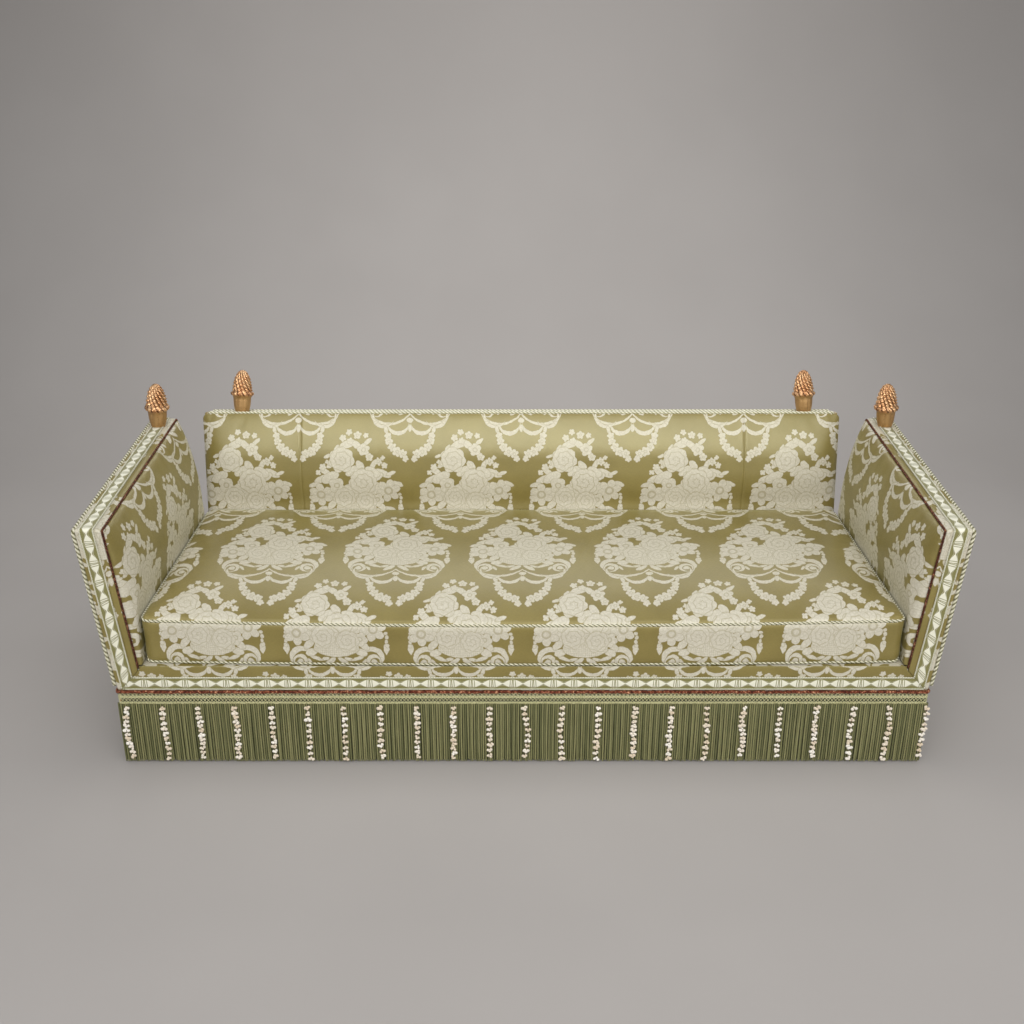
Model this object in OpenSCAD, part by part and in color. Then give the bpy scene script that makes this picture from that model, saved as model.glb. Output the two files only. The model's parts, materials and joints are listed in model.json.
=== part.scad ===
// Knole sofa: drop arms on hinges, loose bench cushion, bullion fringe, acorn finials.
// Millimetres. The front faces -Y and +Z is up. Left and right are as seen from the front,
// so the right-hand arm is on the +X side.
// Inside the modules y counts from the front rail's front face; place() centres the whole.

/* [Seat frame] */
// Width over the two side seat rails
base_w = 2262; // [2100:2:2400]
// Depth over the front and rear seat rails
base_d = 848; // [800:2:920]
// Height of the turned feet
foot_h = 135; // [110:1:160]
// Height of the seat rails
rail_h = 100; // [90:1:115]
// Thickness of the seat rails
rail_t = 35; // [28:1:42]
// Height of the seat platform above the rails
platform_h = 79.5; // [74:0.5:86]
// Thickness of the stuffed deck at the top of the platform
deck_t = 30.5; // [22:0.5:36]
// Width of a cross rail and of a side sill's foot on its rail
cross_rail_w = 45; // [36:1:60]
// Height of a cross rail
cross_rail_h = 40; // [30:1:60]
// Leg of a triangular corner block
corner_block_leg = 95; // [70:1:110]
// Height of a corner block
corner_block_h = 60; // [40:1:75]
// Radius of a foot at its top
foot_top_r = 30; // [24:1:34]
// Radius of a foot at the floor
foot_sole_r = 20; // [16:1:26]
// Distance of a foot's axis in from the rails' outer faces
foot_inset = 40; // [36:1:48]

/* [Springs and webbing] */
// Outer radius of a seat spring
spring_r = 52; // [40:1:58]
// Radius of the spring wire
spring_wire_r = 2.6; // [2:0.1:3.4]
// Full turns in a seat spring
spring_turns = 4; // [3:1:6]
// Distance of the outermost springs' axes in from the side rails' outer faces
spring_end_inset = 231; // [210:1:260]
// Springs in one row
spring_columns = 7; // [5:2:7]
// Distance of each row of springs from the middle of the seat frame
spring_row_y = 190; // [160:1:210]
// Width of a webbing strap
strap_w = 50; // [40:1:52]
// Thickness of a webbing strap
strap_t = 1.6; // [1.2:0.1:2.2]
// Spacing of the two straps under each spring
strap_pair_gap = 70; // [60:1:78]
// Thickness of hessian and dust cover cloth
cloth_t = 1.5; // [1:0.1:2.5]

/* [Cushion] */
// Distance of the loose cushion's sides in from the side rails' outer faces
cushion_inset = 75; // [75:1:140]
// Height of the cushion between its bottom and its top piping
cushion_t = 135; // [110:1:150]
// Setback of the cushion from the front rail's face
cushion_setback = 16; // [8:1:40]
// Rise of the crown above the top piping
cushion_crown = 20; // [8:1:32]
// Radius of the cushion's plan corners
cushion_corner_r = 34; // [22:1:45]
// Amount by which the sides draw in between the corners
cushion_draw_in = 3; // [0:0.5:6]
// Radius of the cushion's piping cord
piping_r = 4; // [3:0.25:4.5]

/* [Arms] */
// Thickness of an arm, measured level
arm_t = 88; // [80:1:96]
// Outward lean of the arms
arm_splay = 6.1; // [4:0.1:8]
// Distance of an arm's rear end in from the rear rail's outer face
arm_rear_inset = 67; // [62:1:110]
// Height of the arm's front top corner above the floor
arm_front_z = 727; // [690:1:760]
// Height of the arm's rear top corner above the floor
arm_rear_z = 782; // [740:1:800]
// Width of an arm's stiles, front to rear
arm_stile_w = 30; // [24:1:40]
// Height of an arm's top rail
arm_rail_h = 36; // [30:1:48]
// Fullest swell of the arm pad above its edge
pad_swell = 38; // [20:1:44]
// Depth over which the pad swells from its top edge
pad_top_roll = 190; // [120:5:220]
// Length over which the pad swells from its front edge
pad_front_roll = 110; // [60:5:150]
// Length over which the pad swells from its rear edge
pad_rear_roll = 45; // [30:5:90]

/* [Back] */
// Distance of the back's sides in from the side rails' outer faces
back_inset = 71; // [61:1:91]
// Backward rake of the back
back_rake = 10.8; // [8:0.2:14]
// Height of the back above the top of the cushion's edge, along its face
back_h = 326; // [280:1:380]
// Distance of the back's front face at seat height in from the rear rail's outer face
back_setback = 37; // [33:1:39]
// Thickness of the back pad at its middle
back_pad_t = 38; // [30:1:44]
// Swell of the back pad above its edge
back_pad_swell = 13; // [6:1:20]
// Width over which the back pad swells from its edges
back_pad_roll = 70; // [40:5:110]
// Thickness of the back's timber
back_timber_t = 32; // [26:1:34]
// Width of the back's timber
back_timber_w = 58; // [45:1:66]
// Padding and cover on the rear of the back
back_cover_t = 5; // [3:0.5:7]
// Rounding of the back's top corners
back_corner_r = 18; // [8:1:26]

/* [Trimmings] */
// Thickness of the fabric facings with their wadding
facing_t = 4; // [3:0.25:5]
// Width of the figured braid
braid_w = 39; // [32:1:44]
// Thickness of the figured braid
braid_t = 3; // [2:0.25:3.5]
// Distance of the braid from the outer edge of an arm
braid_inset = 24.5; // [20:0.5:30]
// Radius of the twisted rope on the outer edges of the arms
rope_r = 6.2; // [5:0.1:7]
// Radius of the two thin cords on the back's top
top_cord_r = 3; // [2:0.25:4]
// Radius of the rust cord at the pads' edges
edge_cord_r = 3; // [2:0.25:3.5]
// Radius of the rust cord round the base
base_cord_r = 5; // [3:0.25:5.5]
// Height of the fringe's woven heading
heading_h = 34; // [26:1:40]
// Thickness of the woven heading
heading_t = 6; // [4:0.5:7]
// Thickness of the hanging fringe
fringe_t = 9; // [6:0.5:11]
// Height of the fringe's lower edge above the floor
fringe_clear = 4; // [3:1:12]
// Radius of a hanging strand of florets
floret_r = 3.5; // [2.5:0.25:4]
// Length of a hanging strand of florets
floret_len = 165; // [120:1:170]
// Wanted spacing of the floret strands
floret_pitch = 102; // [90:1:130]

/* [Finials] */
// Height of a finial above its seat
finial_h = 152; // [120:1:180]
// Radius of a finial at its beaded collar
finial_r = 38; // [30:0.5:42]
// Radius of the dowel below a finial
dowel_r = 5; // [4:0.5:6]
// Length of the dowel
dowel_len = 26; // [18:1:28]
// Distance of a back finial from the end of the back
back_finial_inset = 125; // [90:1:160]
// Distance of an arm finial from the rear end of the arm
arm_finial_inset = 55; // [48:1:90]

/* [Fittings] */
// Radius of a hinge knuckle
knuckle_r = 4.5; // [4:0.1:4.6]
// Radius of a hinge pin
pin_r = 2.5; // [2:0.1:2.7]
// Radial running clearance of the arm's knuckle on the pin
pin_clear = 0.05; // [0.03:0.01:0.1]
// Length of a hinge, front to rear
hinge_len = 66; // [54:1:80]
// Width of a hinge leaf
leaf_w = 40; // [30:1:46]
// Thickness of a hinge leaf
leaf_t = 2; // [1.5:0.1:2.2]
// Distance of each hinge's middle from the ends of the arm
hinge_inset = 140; // [110:1:200]
// Outer radius of the ratchet quadrant
ratchet_r = 62; // [56:1:64]
// Width of the ratchet quadrant's bar
ratchet_bar_w = 18; // [14:1:22]
// Thickness of the ratchet quadrant
ratchet_t = 4; // [3:0.5:5]
// Teeth on the ratchet quadrant
ratchet_teeth = 14; // [8:1:18]
// Height of a ratchet tooth
tooth_h = 3.5; // [2.5:0.5:5]
// Distance of the ratchet from the rear end of the arm
ratchet_inset = 290; // [250:5:330]

/* [Hidden] */

// Overrun of every cut beyond the solid that it cuts
over = 20;
// Gap left between soft or moving neighbours
slack = 0.3;
// Sides of plain round solids
round_sides = 48;
// Radius of the ball at a cord's bend, as a share of the cord's radius
ball_share = 1.03;

// Widths and depths that follow the seat frame
cushion_w = base_w - 2 * cushion_inset;
back_w = base_w - 2 * back_inset;
back_y = base_d - back_setback;

// Springs spread evenly; the cross rails and middle feet lie midway between the second pair
spring_pitch_x = (base_w - 2 * spring_end_inset) / (spring_columns - 1);
cross_rail_share = 3 / 2;
cross_rail_x = cross_rail_share * spring_pitch_x;

// Levels and planes of the seat
rail_top = foot_h + rail_h;
platform_z = rail_top + platform_h;
deck_low_z = platform_z - deck_t;
rail_x = base_w / 2;
inner_x = rail_x - rail_t;
rear_rail_y = base_d - rail_t;

// The arm's foot corner is also the hinge axis; it stands just proud of the rails
foot_proud = 14;
foot_rise = 6;
foot_x = rail_x + foot_proud;
foot_z = rail_top + foot_rise;
// Hinge gap between the arm's mitred foot and the sill, and the hairline that shows in front
hinge_play = 1;
hinge_gap = 2 * leaf_t + hinge_play;
mitre_line = 0.5;
mitre_rise = platform_z - foot_z;
mitre_run = arm_t - mitre_rise * tan(arm_splay);
mitre_angle = atan2(mitre_rise, mitre_run);
mitre_gap_z = hinge_gap / cos(mitre_angle);

// Front and rear planes of the arms
arm_y0 = -facing_t;
arm_y1 = base_d - arm_rear_inset;
arm_len = arm_y1 - arm_y0;
arm_mid_y = (arm_y0 + arm_y1) / 2;

// Trimming levels
cord_z = rail_top - slack;
heading_top_z = cord_z - base_cord_r - slack;
heading_low_z = heading_top_z - heading_h;
border_low_z = cord_z + base_cord_r + slack;
braid_low_z = border_low_z + braid_t;

back_t = back_pad_t + back_timber_t + back_cover_t;
// The finials stand between the back's two cords, their dowels wholly in its timber
dowel_wall = 1;
back_mid_y = back_pad_t + dowel_wall + dowel_r;
// Height of a finial's collar, as a share of the finial's height
collar_share = 0.47;

// Extents front to rear, for centring: floret strands in front, the finials' collars behind
front_most = -(fringe_t + 2 * floret_r + slack);
rear_most = back_y + (back_mid_y + finial_r) * cos(back_rake)
    + (back_h + collar_share * finial_h) * sin(back_rake);
mid_y = (front_most + rear_most) / 2;

// Seat level: top of the cushion's edge
cushion_low_z = platform_z + slack;
seat_z = cushion_low_z + cushion_t;

// World y of a plane inside the raked back: depth behind its face, at a height
function back_plane_y(depth, z) = back_y + depth / cos(back_rake) + (z - seat_z) * tan(back_rake);
deck_rear_y = back_plane_y(back_pad_t, deck_low_z) - slack;

module place() translate([0, -mid_y, 0]) children();

module flip_left() mirror([1, 0, 0]) children();

module both_sides() {
    children();
    mirror([1, 0, 0]) children();
}

// Block between two corners
module block(low, high) {
    translate(low) cube(high - low);
}

// Outline in x and z, extruded along y from y0 to y1
module along_y(y0, y1, outline) {
    translate([0, y1, 0]) rotate([90, 0, 0]) linear_extrude(height = y1 - y0) polygon(outline);
}

// Outline in y and z, extruded along x from x0 to x1
module along_x(x0, x1, outline) {
    translate([x0, 0, 0]) rotate([90, 0, 90]) linear_extrude(height = x1 - x0) polygon(outline);
}

// Round rod between two points
module rod(from, to, r) {
    d = to - from;
    translate(from)
        rotate([0, acos(d[2] / norm(d)), atan2(d[1], d[0])])
            cylinder(h = norm(d), r = r, $fn = round_sides);
}

// Rods along a chain of points, with a slightly fuller ball at each inner point
module chain(points, r) {
    for (i = [0 : len(points) - 2]) rod(points[i], points[i + 1], r);
    for (i = [1 : len(points) - 2]) translate(points[i]) sphere(r = r * ball_share, $fn = round_sides);
}

// Faces of a closed skin over rows of points, each row the same length, rows closed to rings
function ring_faces(rows, n) = concat(
    [for (i = [0 : rows - 2], j = [0 : n - 1])
        [i * n + j, i * n + (j + 1) % n, (i + 1) * n + j]],
    [for (i = [0 : rows - 2], j = [0 : n - 1])
        [i * n + (j + 1) % n, (i + 1) * n + (j + 1) % n, (i + 1) * n + j]]
);

// Fan faces from one point to a ring
function fan_faces(centre, first, n, up) = [for (j = [0 : n - 1])
    up ? [first + j, first + (j + 1) % n, centre] : [first + (j + 1) % n, first + j, centre]];

// Swell of a stuffed edge: rises as a quarter round over a depth of one
function roll(q) = let (p = min(max(q, 0), 1)) sqrt(1 - (1 - p) * (1 - p));

function lerp(a, b, t) = a + (b - a) * t;

// Seat rails

module front_seat_rail() {
    color("peru") place() block([-rail_x, 0, foot_h], [rail_x, rail_t, rail_top]);
}

module rear_seat_rail() {
    color("peru") place() block([-rail_x, rear_rail_y, foot_h], [rail_x, base_d, rail_top]);
}

ratchet_y0 = arm_y1 - ratchet_inset;
ratchet_side_clear = 1.5;

// Slot through sill and rail in which the ratchet quadrant swings
module ratchet_slot() {
    block([foot_x - ratchet_r - ratchet_side_clear, ratchet_y0 - ratchet_side_clear,
            foot_z - ratchet_r - ratchet_side_clear],
        [foot_x + over, ratchet_y0 + ratchet_t + ratchet_side_clear, platform_z + over]);
}

module side_seat_rails() {
    color("peru") place() both_sides() difference() {
        block([inner_x, rail_t, foot_h], [rail_x, rear_rail_y, rail_top]);
        ratchet_slot();
    }
}

module seat_cross_rails() {
    color("peru") place() both_sides()
        block([cross_rail_x - cross_rail_w / 2, rail_t, foot_h],
            [cross_rail_x + cross_rail_w / 2, rear_rail_y, foot_h + cross_rail_h]);
}

module corner_blocks() {
    leg = corner_block_leg;
    color("burlywood") place() both_sides() {
        translate([inner_x, rail_t, foot_h]) linear_extrude(height = corner_block_h)
            polygon([[0, 0], [-leg, 0], [0, leg]]);
        translate([inner_x, rear_rail_y, foot_h]) linear_extrude(height = corner_block_h)
            polygon([[0, 0], [0, -leg], [-leg, 0]]);
    }
}

// Radius and height of a turned foot, as shares of its sole radius, top radius and height
foot_neck_share = 0.86;
foot_outline_shares = [[0, 0], [1, 0], [1.08, 0.12], [1, 0.3]];
foot_top_shares = [[0.86, 0.55], [1, 0.72], [1, 0.86]];

module turned_foot() {
    rotate_extrude($fn = round_sides) polygon(concat(
        [for (p = foot_outline_shares) [p[0] * foot_sole_r, p[1] * foot_h]],
        [for (p = foot_top_shares) [p[0] * foot_top_r, p[1] * foot_h]],
        [[foot_neck_share * foot_top_r, foot_h], [0, foot_h]]));
}

// Places of the eight feet
foot_front_y = foot_inset;
foot_rear_y = base_d - foot_inset;
foot_places = [for (x = [-rail_x + foot_inset, -cross_rail_x, cross_rail_x, rail_x - foot_inset],
    y = [foot_front_y, foot_rear_y]) [x, y, 0]];

module turned_feet() {
    color("saddlebrown") place() for (p = foot_places) translate(p) turned_foot();
}

// Side sill: carries the deck's end and the fixed leaves of the arm's hinges
sill_in_x = inner_x - cross_rail_w;
function mitre_x(z) = foot_x - (z - foot_z + mitre_gap_z) / tan(mitre_angle);

module side_sills() {
    outline = [[sill_in_x, rail_top], [rail_x, rail_top],
        [rail_x, foot_z + (foot_x - rail_x) * tan(mitre_angle) - mitre_gap_z],
        [mitre_x(deck_low_z), deck_low_z], [sill_in_x, deck_low_z]];
    color("burlywood") place() both_sides() difference() {
        along_y(slack, back_plane_y(back_pad_t, rail_top) - slack, outline);
        ratchet_slot();
    }
}

// Springs, webbing and cloths of the seat

seat_mid_y = base_d / 2;
spring_rows = [seat_mid_y - spring_row_y, seat_mid_y + spring_row_y];
spring_xs = [for (i = [0 : spring_columns - 1]) (i - (spring_columns - 1) / 2) * spring_pitch_x];
// Straps pass the rails' far edges short of their outer faces
strap_end = 6;

module seat_webbing() {
    color("tan") place() {
        for (x = spring_xs, s = [-1, 1])
            translate([x + s * strap_pair_gap / 2 - strap_w / 2, strap_end, foot_h - strap_t])
                cube([strap_w, base_d - 2 * strap_end, strap_t]);
        for (y = spring_rows, s = [-1, 1])
            translate([-rail_x + strap_end, y + s * strap_pair_gap / 2 - strap_w / 2,
                    foot_h - 2 * strap_t])
                cube([base_w - 2 * strap_end, strap_w, strap_t]);
    }
}

// Helical wire of a seat spring, waisted at its middle
spring_rings = 8;
wire_sides = 4;
spring_waist_share = 0.78;
spring_low_z = foot_h + spring_wire_r + slack;
spring_high_z = deck_low_z - cloth_t - spring_wire_r - slack;

function spring_point(t) = let (
    r = (spring_r - spring_wire_r) * lerp(spring_waist_share, 1, pow(2 * t - 1, 2)),
    a = 360 * spring_turns * t)
    [r * cos(a), r * sin(a), lerp(spring_low_z, spring_high_z, t)];

module seat_spring() {
    rings = spring_turns * spring_rings + 1;
    points = [for (i = [0 : rings - 1]) let (
        t = i / (rings - 1),
        p = spring_point(t),
        a = 360 * spring_turns * t)
        for (k = [0 : wire_sides - 1]) let (b = 360 * k / wire_sides)
            p + spring_wire_r * [cos(b) * cos(a), cos(b) * sin(a), sin(b)]];
    last = (rings - 1) * wire_sides;
    polyhedron(points, concat(
        [for (f = ring_faces(rings, wire_sides)) [f[2], f[1], f[0]]],
        [[0, 1, 2], [0, 2, 3], [last, last + 2, last + 1], [last, last + 3, last + 2]]));
}

module seat_springs() {
    color("gray") place() for (x = spring_xs, y = spring_rows) translate([x, y, 0]) seat_spring();
}

module seat_hessian() {
    color("wheat") place()
        block([-sill_in_x + slack, front_edge_w + slack, deck_low_z - cloth_t],
            [sill_in_x - slack, deck_rear_y, deck_low_z]);
}

module dust_cover() {
    z1 = foot_h - 2 * strap_t - slack;
    color("dimgray") place() difference() {
        block([-rail_x + strap_end, strap_end, z1 - cloth_t],
            [rail_x - strap_end, base_d - strap_end, z1]);
        for (p = foot_places) translate(p)
            cylinder(h = foot_h + over, r = foot_top_r + slack, $fn = round_sides);
    }
}

// The deck stands on the sills and drops over the front rail as a stuffed edge
front_edge_w = 30;

module seat_deck() {
    top_x = mitre_x(platform_z);
    low_x = mitre_x(deck_low_z);
    color("darkkhaki") place() {
        along_y(slack, deck_rear_y,
            [[-low_x, deck_low_z], [low_x, deck_low_z], [top_x, platform_z], [-top_x, platform_z]]);
        block([-sill_in_x + slack, 0, rail_top], [sill_in_x - slack, front_edge_w, deck_low_z]);
    }
}

// Covers and trimmings of the base

// Foot line of the arm's facing: level under rope and olive strip, then mitred with the braid
level_foot = braid_inset - (braid_low_z - foot_z);
facing_high_z = foot_z + arm_t - level_foot;

function outer_x(z) = foot_x + (z - foot_z) * tan(arm_splay);

module front_border() {
    half = [[foot_x - level_foot - mitre_line, border_low_z],
        [foot_x - level_foot - mitre_line, foot_z],
        [outer_x(facing_high_z) - arm_t - mitre_line, facing_high_z],
        [outer_x(platform_z) - arm_t - mitre_line, platform_z]];
    other = [for (i = [len(half) - 1 : -1 : 0]) [-half[i][0], half[i][1]]];
    color("darkkhaki") place() along_y(-facing_t, 0, concat(half, other));
}

module front_braid() {
    low_x = outer_x(braid_low_z) - braid_inset - mitre_line;
    high_z = braid_low_z + braid_w;
    high_x = outer_x(high_z) - braid_inset - braid_w - mitre_line;
    color("beige") place() along_y(-facing_t - braid_t, -facing_t,
        [[-low_x, braid_low_z], [low_x, braid_low_z], [high_x, high_z], [-high_x, high_z]]);
}

module base_cord() {
    x = rail_x + base_cord_r;
    y0 = -base_cord_r;
    y1 = base_d + base_cord_r;
    corners = [[-x, y0, cord_z], [x, y0, cord_z], [x, y1, cord_z], [-x, y1, cord_z]];
    color("sienna") place() {
        chain(concat(corners, [corners[0]]), base_cord_r);
        translate(corners[0]) sphere(r = base_cord_r * ball_share, $fn = round_sides);
    }
}

module fringe_heading() {
    color("darkseagreen") place() difference() {
        block([-rail_x - heading_t, -heading_t, heading_low_z],
            [rail_x + heading_t, base_d + heading_t, heading_top_z]);
        block([-rail_x, 0, heading_low_z - over], [rail_x, base_d, heading_top_z + over]);
    }
}

module fringe_wall(low, high) {
    color("darkolivegreen") place()
        block([low[0], low[1], fringe_clear], [high[0], high[1], heading_low_z]);
}

module fringe_front() fringe_wall([-rail_x - fringe_t, -fringe_t], [rail_x + fringe_t, 0]);

module fringe_rear() fringe_wall([-rail_x - fringe_t, base_d], [rail_x + fringe_t, base_d + fringe_t]);

module fringe_right() fringe_wall([rail_x, slack], [rail_x + fringe_t, base_d - slack]);

module fringe_left() flip_left() fringe_right();

// Strands of florets hang in front of the fringe at even spacing on all four sides
strand_top_z = heading_low_z - floret_r;
strand_out = fringe_t + floret_r + slack;
strand_end_x = rail_x - 2 * floret_r;
strand_gaps_x = round(2 * strand_end_x / floret_pitch);
strand_gaps_y = round(base_d / floret_pitch);

module strand(x, y) {
    translate([x, y, strand_top_z - floret_len])
        cylinder(h = floret_len, r = floret_r, $fn = round_sides / 2);
}

module floret_tufts() {
    color("ivory") place() {
        for (i = [0 : strand_gaps_x], y = [-strand_out, base_d + strand_out])
            strand(lerp(-strand_end_x, strand_end_x, i / strand_gaps_x), y);
        for (j = [1 : strand_gaps_y - 1], s = [-1, 1])
            strand(s * (rail_x + strand_out), lerp(0, base_d, j / strand_gaps_y));
    }
}

// Back, built upright about its face at seat height and then raked

module raked() place() translate([0, back_y, seat_z]) rotate([-back_rake, 0, 0]) children();

back_pad_low = -cushion_t + back_timber_t / 4;
back_top = back_h - facing_t;
back_timber_y = back_pad_t;
back_rear_y = back_pad_t + back_timber_t;
back_side_x = back_w / 2 - back_cover_t;
back_rail_low = back_pad_low - back_timber_w / 2;

// Far end of the stiles along the rake, past the rear seat rail's top
stile_reach = (seat_z - rail_top) / cos(back_rake) + back_timber_t;

module back_stiles() {
    mid_x = back_w / 6;
    color("burlywood") difference() {
        raked() both_sides() {
            block([back_side_x - back_timber_w, back_timber_y, -stile_reach],
                [back_side_x, back_rear_y, back_top - back_timber_w]);
            block([mid_x - back_timber_w / 2, back_timber_y, back_rail_low + back_timber_w],
                [mid_x + back_timber_w / 2, back_rear_y, back_top - back_timber_w]);
        }
        place() block([-rail_x, 0, foot_h - over], [rail_x, base_d + over, rail_top]);
    }
}

module back_finial_place() {
    raked() translate([back_w / 2 - back_finial_inset, back_mid_y, back_h]) children();
}

module dowel_hole() {
    translate([0, 0, -dowel_len]) cylinder(h = dowel_len + over, r = dowel_r, $fn = round_sides);
}

module back_top_rail() {
    color("burlywood") difference() {
        raked() block([-back_side_x, back_timber_y, back_top - back_timber_w],
            [back_side_x, back_rear_y, back_top]);
        back_finial_place() dowel_hole();
        flip_left() back_finial_place() dowel_hole();
    }
}

module back_bottom_rail() {
    x = back_side_x - back_timber_w;
    color("burlywood") raked()
        block([-x, back_timber_y, back_rail_low], [x, back_rear_y, back_rail_low + back_timber_w]);
}

back_strap_pitch = 3 * strap_w;
back_strap_count = floor((back_w / 2 - back_timber_w) / back_strap_pitch);

module back_webbing() {
    clear_x = back_w / 6;
    color("tan") raked() for (i = [-back_strap_count : back_strap_count]) {
        x = i * back_strap_pitch;
        if (abs(abs(x) - clear_x) > (back_timber_w + strap_w) / 2
                && abs(x) < back_side_x - back_timber_w - strap_w / 2)
            block([x - strap_w / 2, back_timber_y, back_rail_low + back_timber_w],
                [x + strap_w / 2, back_timber_y + strap_t, back_top - back_timber_w]);
    }
}

// Ring of points round a rounded rectangle, drawn in by an inset, with extra points on its
// sides that pull in between the corners
corner_steps = 5;
side_steps = 7;

function plan_ring(half_w, half_d, r, inset, pull) = let (
    a = half_w - inset,
    b = half_d - inset,
    rad = max(r - inset, r / corner_steps),
    cs = [[1, 1], [-1, 1], [-1, -1], [1, -1]],
    arc = function (q, k) let (t = 90 * (q + k / corner_steps))
        [cs[q][0] * (a - rad) + rad * cos(t), cs[q][1] * (b - rad) + rad * sin(t)])
    [for (q = [0 : 3]) each concat(
        [for (k = [0 : corner_steps]) arc(q, k)],
        [for (k = [1 : side_steps - 1]) let (
            t = k / side_steps,
            p = lerp(arc(q, corner_steps), arc((q + 1) % 4, 0), t),
            away = [cos(90 * (q + 1)), sin(90 * (q + 1))])
            p - 4 * t * (1 - t) * pull * away])];

// Closed skin over a stack of equal rings
module ring_stack(rings) {
    n = len(rings[0]);
    rows = len(rings);
    points = [for (r = rings) each r];
    low = rows * n;
    centre_low = lerp(rings[0][0], rings[0][floor(n / 2)], 1 / 2);
    centre_high = lerp(rings[rows - 1][0], rings[rows - 1][floor(n / 2)], 1 / 2);
    faces = concat(
        [for (f = ring_faces(rows, n)) [f[2], f[1], f[0]]],
        fan_faces(low, 0, n, true),
        fan_faces(low + 1, (rows - 1) * n, n, false));
    polyhedron(concat(points, [centre_low, centre_high]), faces);
}

// Steps of a pad's swell from its edge inwards
roll_shares = [0, 0.04, 0.12, 0.26, 0.5, 1];

module back_pad() {
    half_h = (back_top - back_pad_low) / 2;
    mid_z = (back_top + back_pad_low) / 2;
    rings = concat(
        [[for (p = plan_ring(back_w / 2, half_h, back_corner_r, 0, 0))
            [p[0], back_pad_t, mid_z + p[1]]]],
        [for (q = roll_shares)
            [for (p = plan_ring(back_w / 2, half_h, back_corner_r, q * back_pad_roll, 0))
                [p[0], back_pad_swell * (1 - roll(q)), mid_z + p[1]]]]);
    color("darkkhaki") raked() ring_stack(rings);
}

module back_outside_cover() {
    x = back_w / 2;
    low = -stile_reach;
    outline = [[-x, back_pad_t], [-back_side_x, back_pad_t], [-back_side_x, back_rear_y],
        [back_side_x, back_rear_y], [back_side_x, back_pad_t], [x, back_pad_t], [x, back_t], [-x, back_t]];
    color("darkkhaki") difference() {
        raked() translate([0, 0, low]) linear_extrude(height = back_top - low) polygon(outline);
        place() block([-rail_x, 0, foot_h - over], [rail_x, base_d + over, rail_top]);
    }
}

// Narrow band on the back's top, between two cords
module back_top_band() {
    color("khaki") difference() {
        raked() block([-back_w / 2 + back_corner_r, back_pad_swell + 2 * top_cord_r + slack, back_top],
            [back_w / 2 - back_corner_r, back_t - 2 * top_cord_r - slack, back_h]);
        back_finial_place() dowel_hole();
        flip_left() back_finial_place() dowel_hole();
    }
}

module back_cords() {
    x = back_w / 2 - top_cord_r - back_corner_r;
    z = back_top + top_cord_r;
    color("cornsilk") raked() for (y = [back_pad_swell + top_cord_r, back_t - top_cord_r])
        rod([-x, y, z], [x, y, z], top_cord_r);
}

// Finial outline: shares of its collar radius and of its height, from its seat up
finial_shares = [[0, 0], [0.6, 0], [0.64, 0.02], [0.71, 0.07], [0.78, 0.15], [0.83, 0.27],
    [0.84, 0.36], [0.9, 0.39], [1, 0.42], [1, collar_share], [0.9, 0.5], [0.82, 0.53], [0.81, 0.6],
    [0.78, 0.7], [0.72, 0.8], [0.6, 0.88], [0.42, 0.95], [0.2, 0.99], [0, 1]];

module finial() {
    color("goldenrod") {
        rotate_extrude($fn = round_sides)
            polygon([for (p = finial_shares) [p[0] * finial_r, p[1] * finial_h]]);
        translate([0, 0, -dowel_len]) cylinder(h = dowel_len + slack, r = dowel_r, $fn = round_sides);
    }
}

module right_back_finial() back_finial_place() finial();

module left_back_finial() flip_left() right_back_finial();

// Arms: the right-hand arm is drawn and the other is its mirror image

// Height of an arm's top at a place along it
function top_z(y) = arm_front_z + (y - arm_y0) * (arm_rear_z - arm_front_z) / arm_len;
arm_slope = atan2(arm_rear_z - arm_front_z, arm_len);

// Height of the mitred foot of timber and of facing, at a level depth in from the outer face
function timber_foot_z(a) = foot_z + a * mitre_rise / arm_t;
function facing_foot_z(a) = foot_z + max(0, a - level_foot) + mitre_line;

// Leaning slab between two depths, on a foot line, cut to an outline in y and z
module arm_slab(a0, a1, foot0, foot1, outline) {
    high = arm_rear_z + over;
    intersection() {
        along_y(arm_y0 - over, arm_y1 + over, [[outer_x(foot0) - a0, foot0], [outer_x(high) - a0, high],
            [outer_x(high) - a1, high], [outer_x(foot1) - a1, foot1]]);
        along_x(inner_x - arm_t - over, outer_x(high) + over, outline);
    }
}

// Outline between two places along the arm, up to a drop below its top
function arm_outline(y0, y1, drop) = [[y0, foot_z - over], [y1, foot_z - over],
    [y1, top_z(y1) - drop], [y0, top_z(y0) - drop]];

// Outline of a strip that follows the arm's front, top and rear edges
function edge_strip(out, in) = let (
    a = arm_y0 - out, b = arm_y1 + out, c = arm_y0 + in, d = arm_y1 - in, low = foot_z - over)
    [[a, low], [a, top_z(a) + out], [b, top_z(b) + out], [b, low],
     [d, low], [d, top_z(d) - in], [c, top_z(c) - in], [c, low]];

// Half the rope's width measured level; the outer face's padding and cover finish flush with it
rope_depth = rope_r * ball_share / cos(arm_splay);
arm_cover_t = 2 * rope_depth;
// Half the rust cord's width measured level, and the pad's edge that covers all of it
cord_depth = edge_cord_r * ball_share / cos(arm_splay);
pad_edge = 2 * cord_depth + slack;
pad_a = arm_t - pad_edge;

timber_a0 = arm_cover_t + slack;
timber_a1 = pad_a - slack;
timber_y0 = arm_y0 + facing_t;
timber_y1 = arm_y1 - facing_t;

module arm_timber(y0, y1, drop) {
    arm_slab(timber_a0, timber_a1, timber_foot_z(timber_a0), timber_foot_z(timber_a1),
        arm_outline(y0, y1, drop));
}

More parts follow.
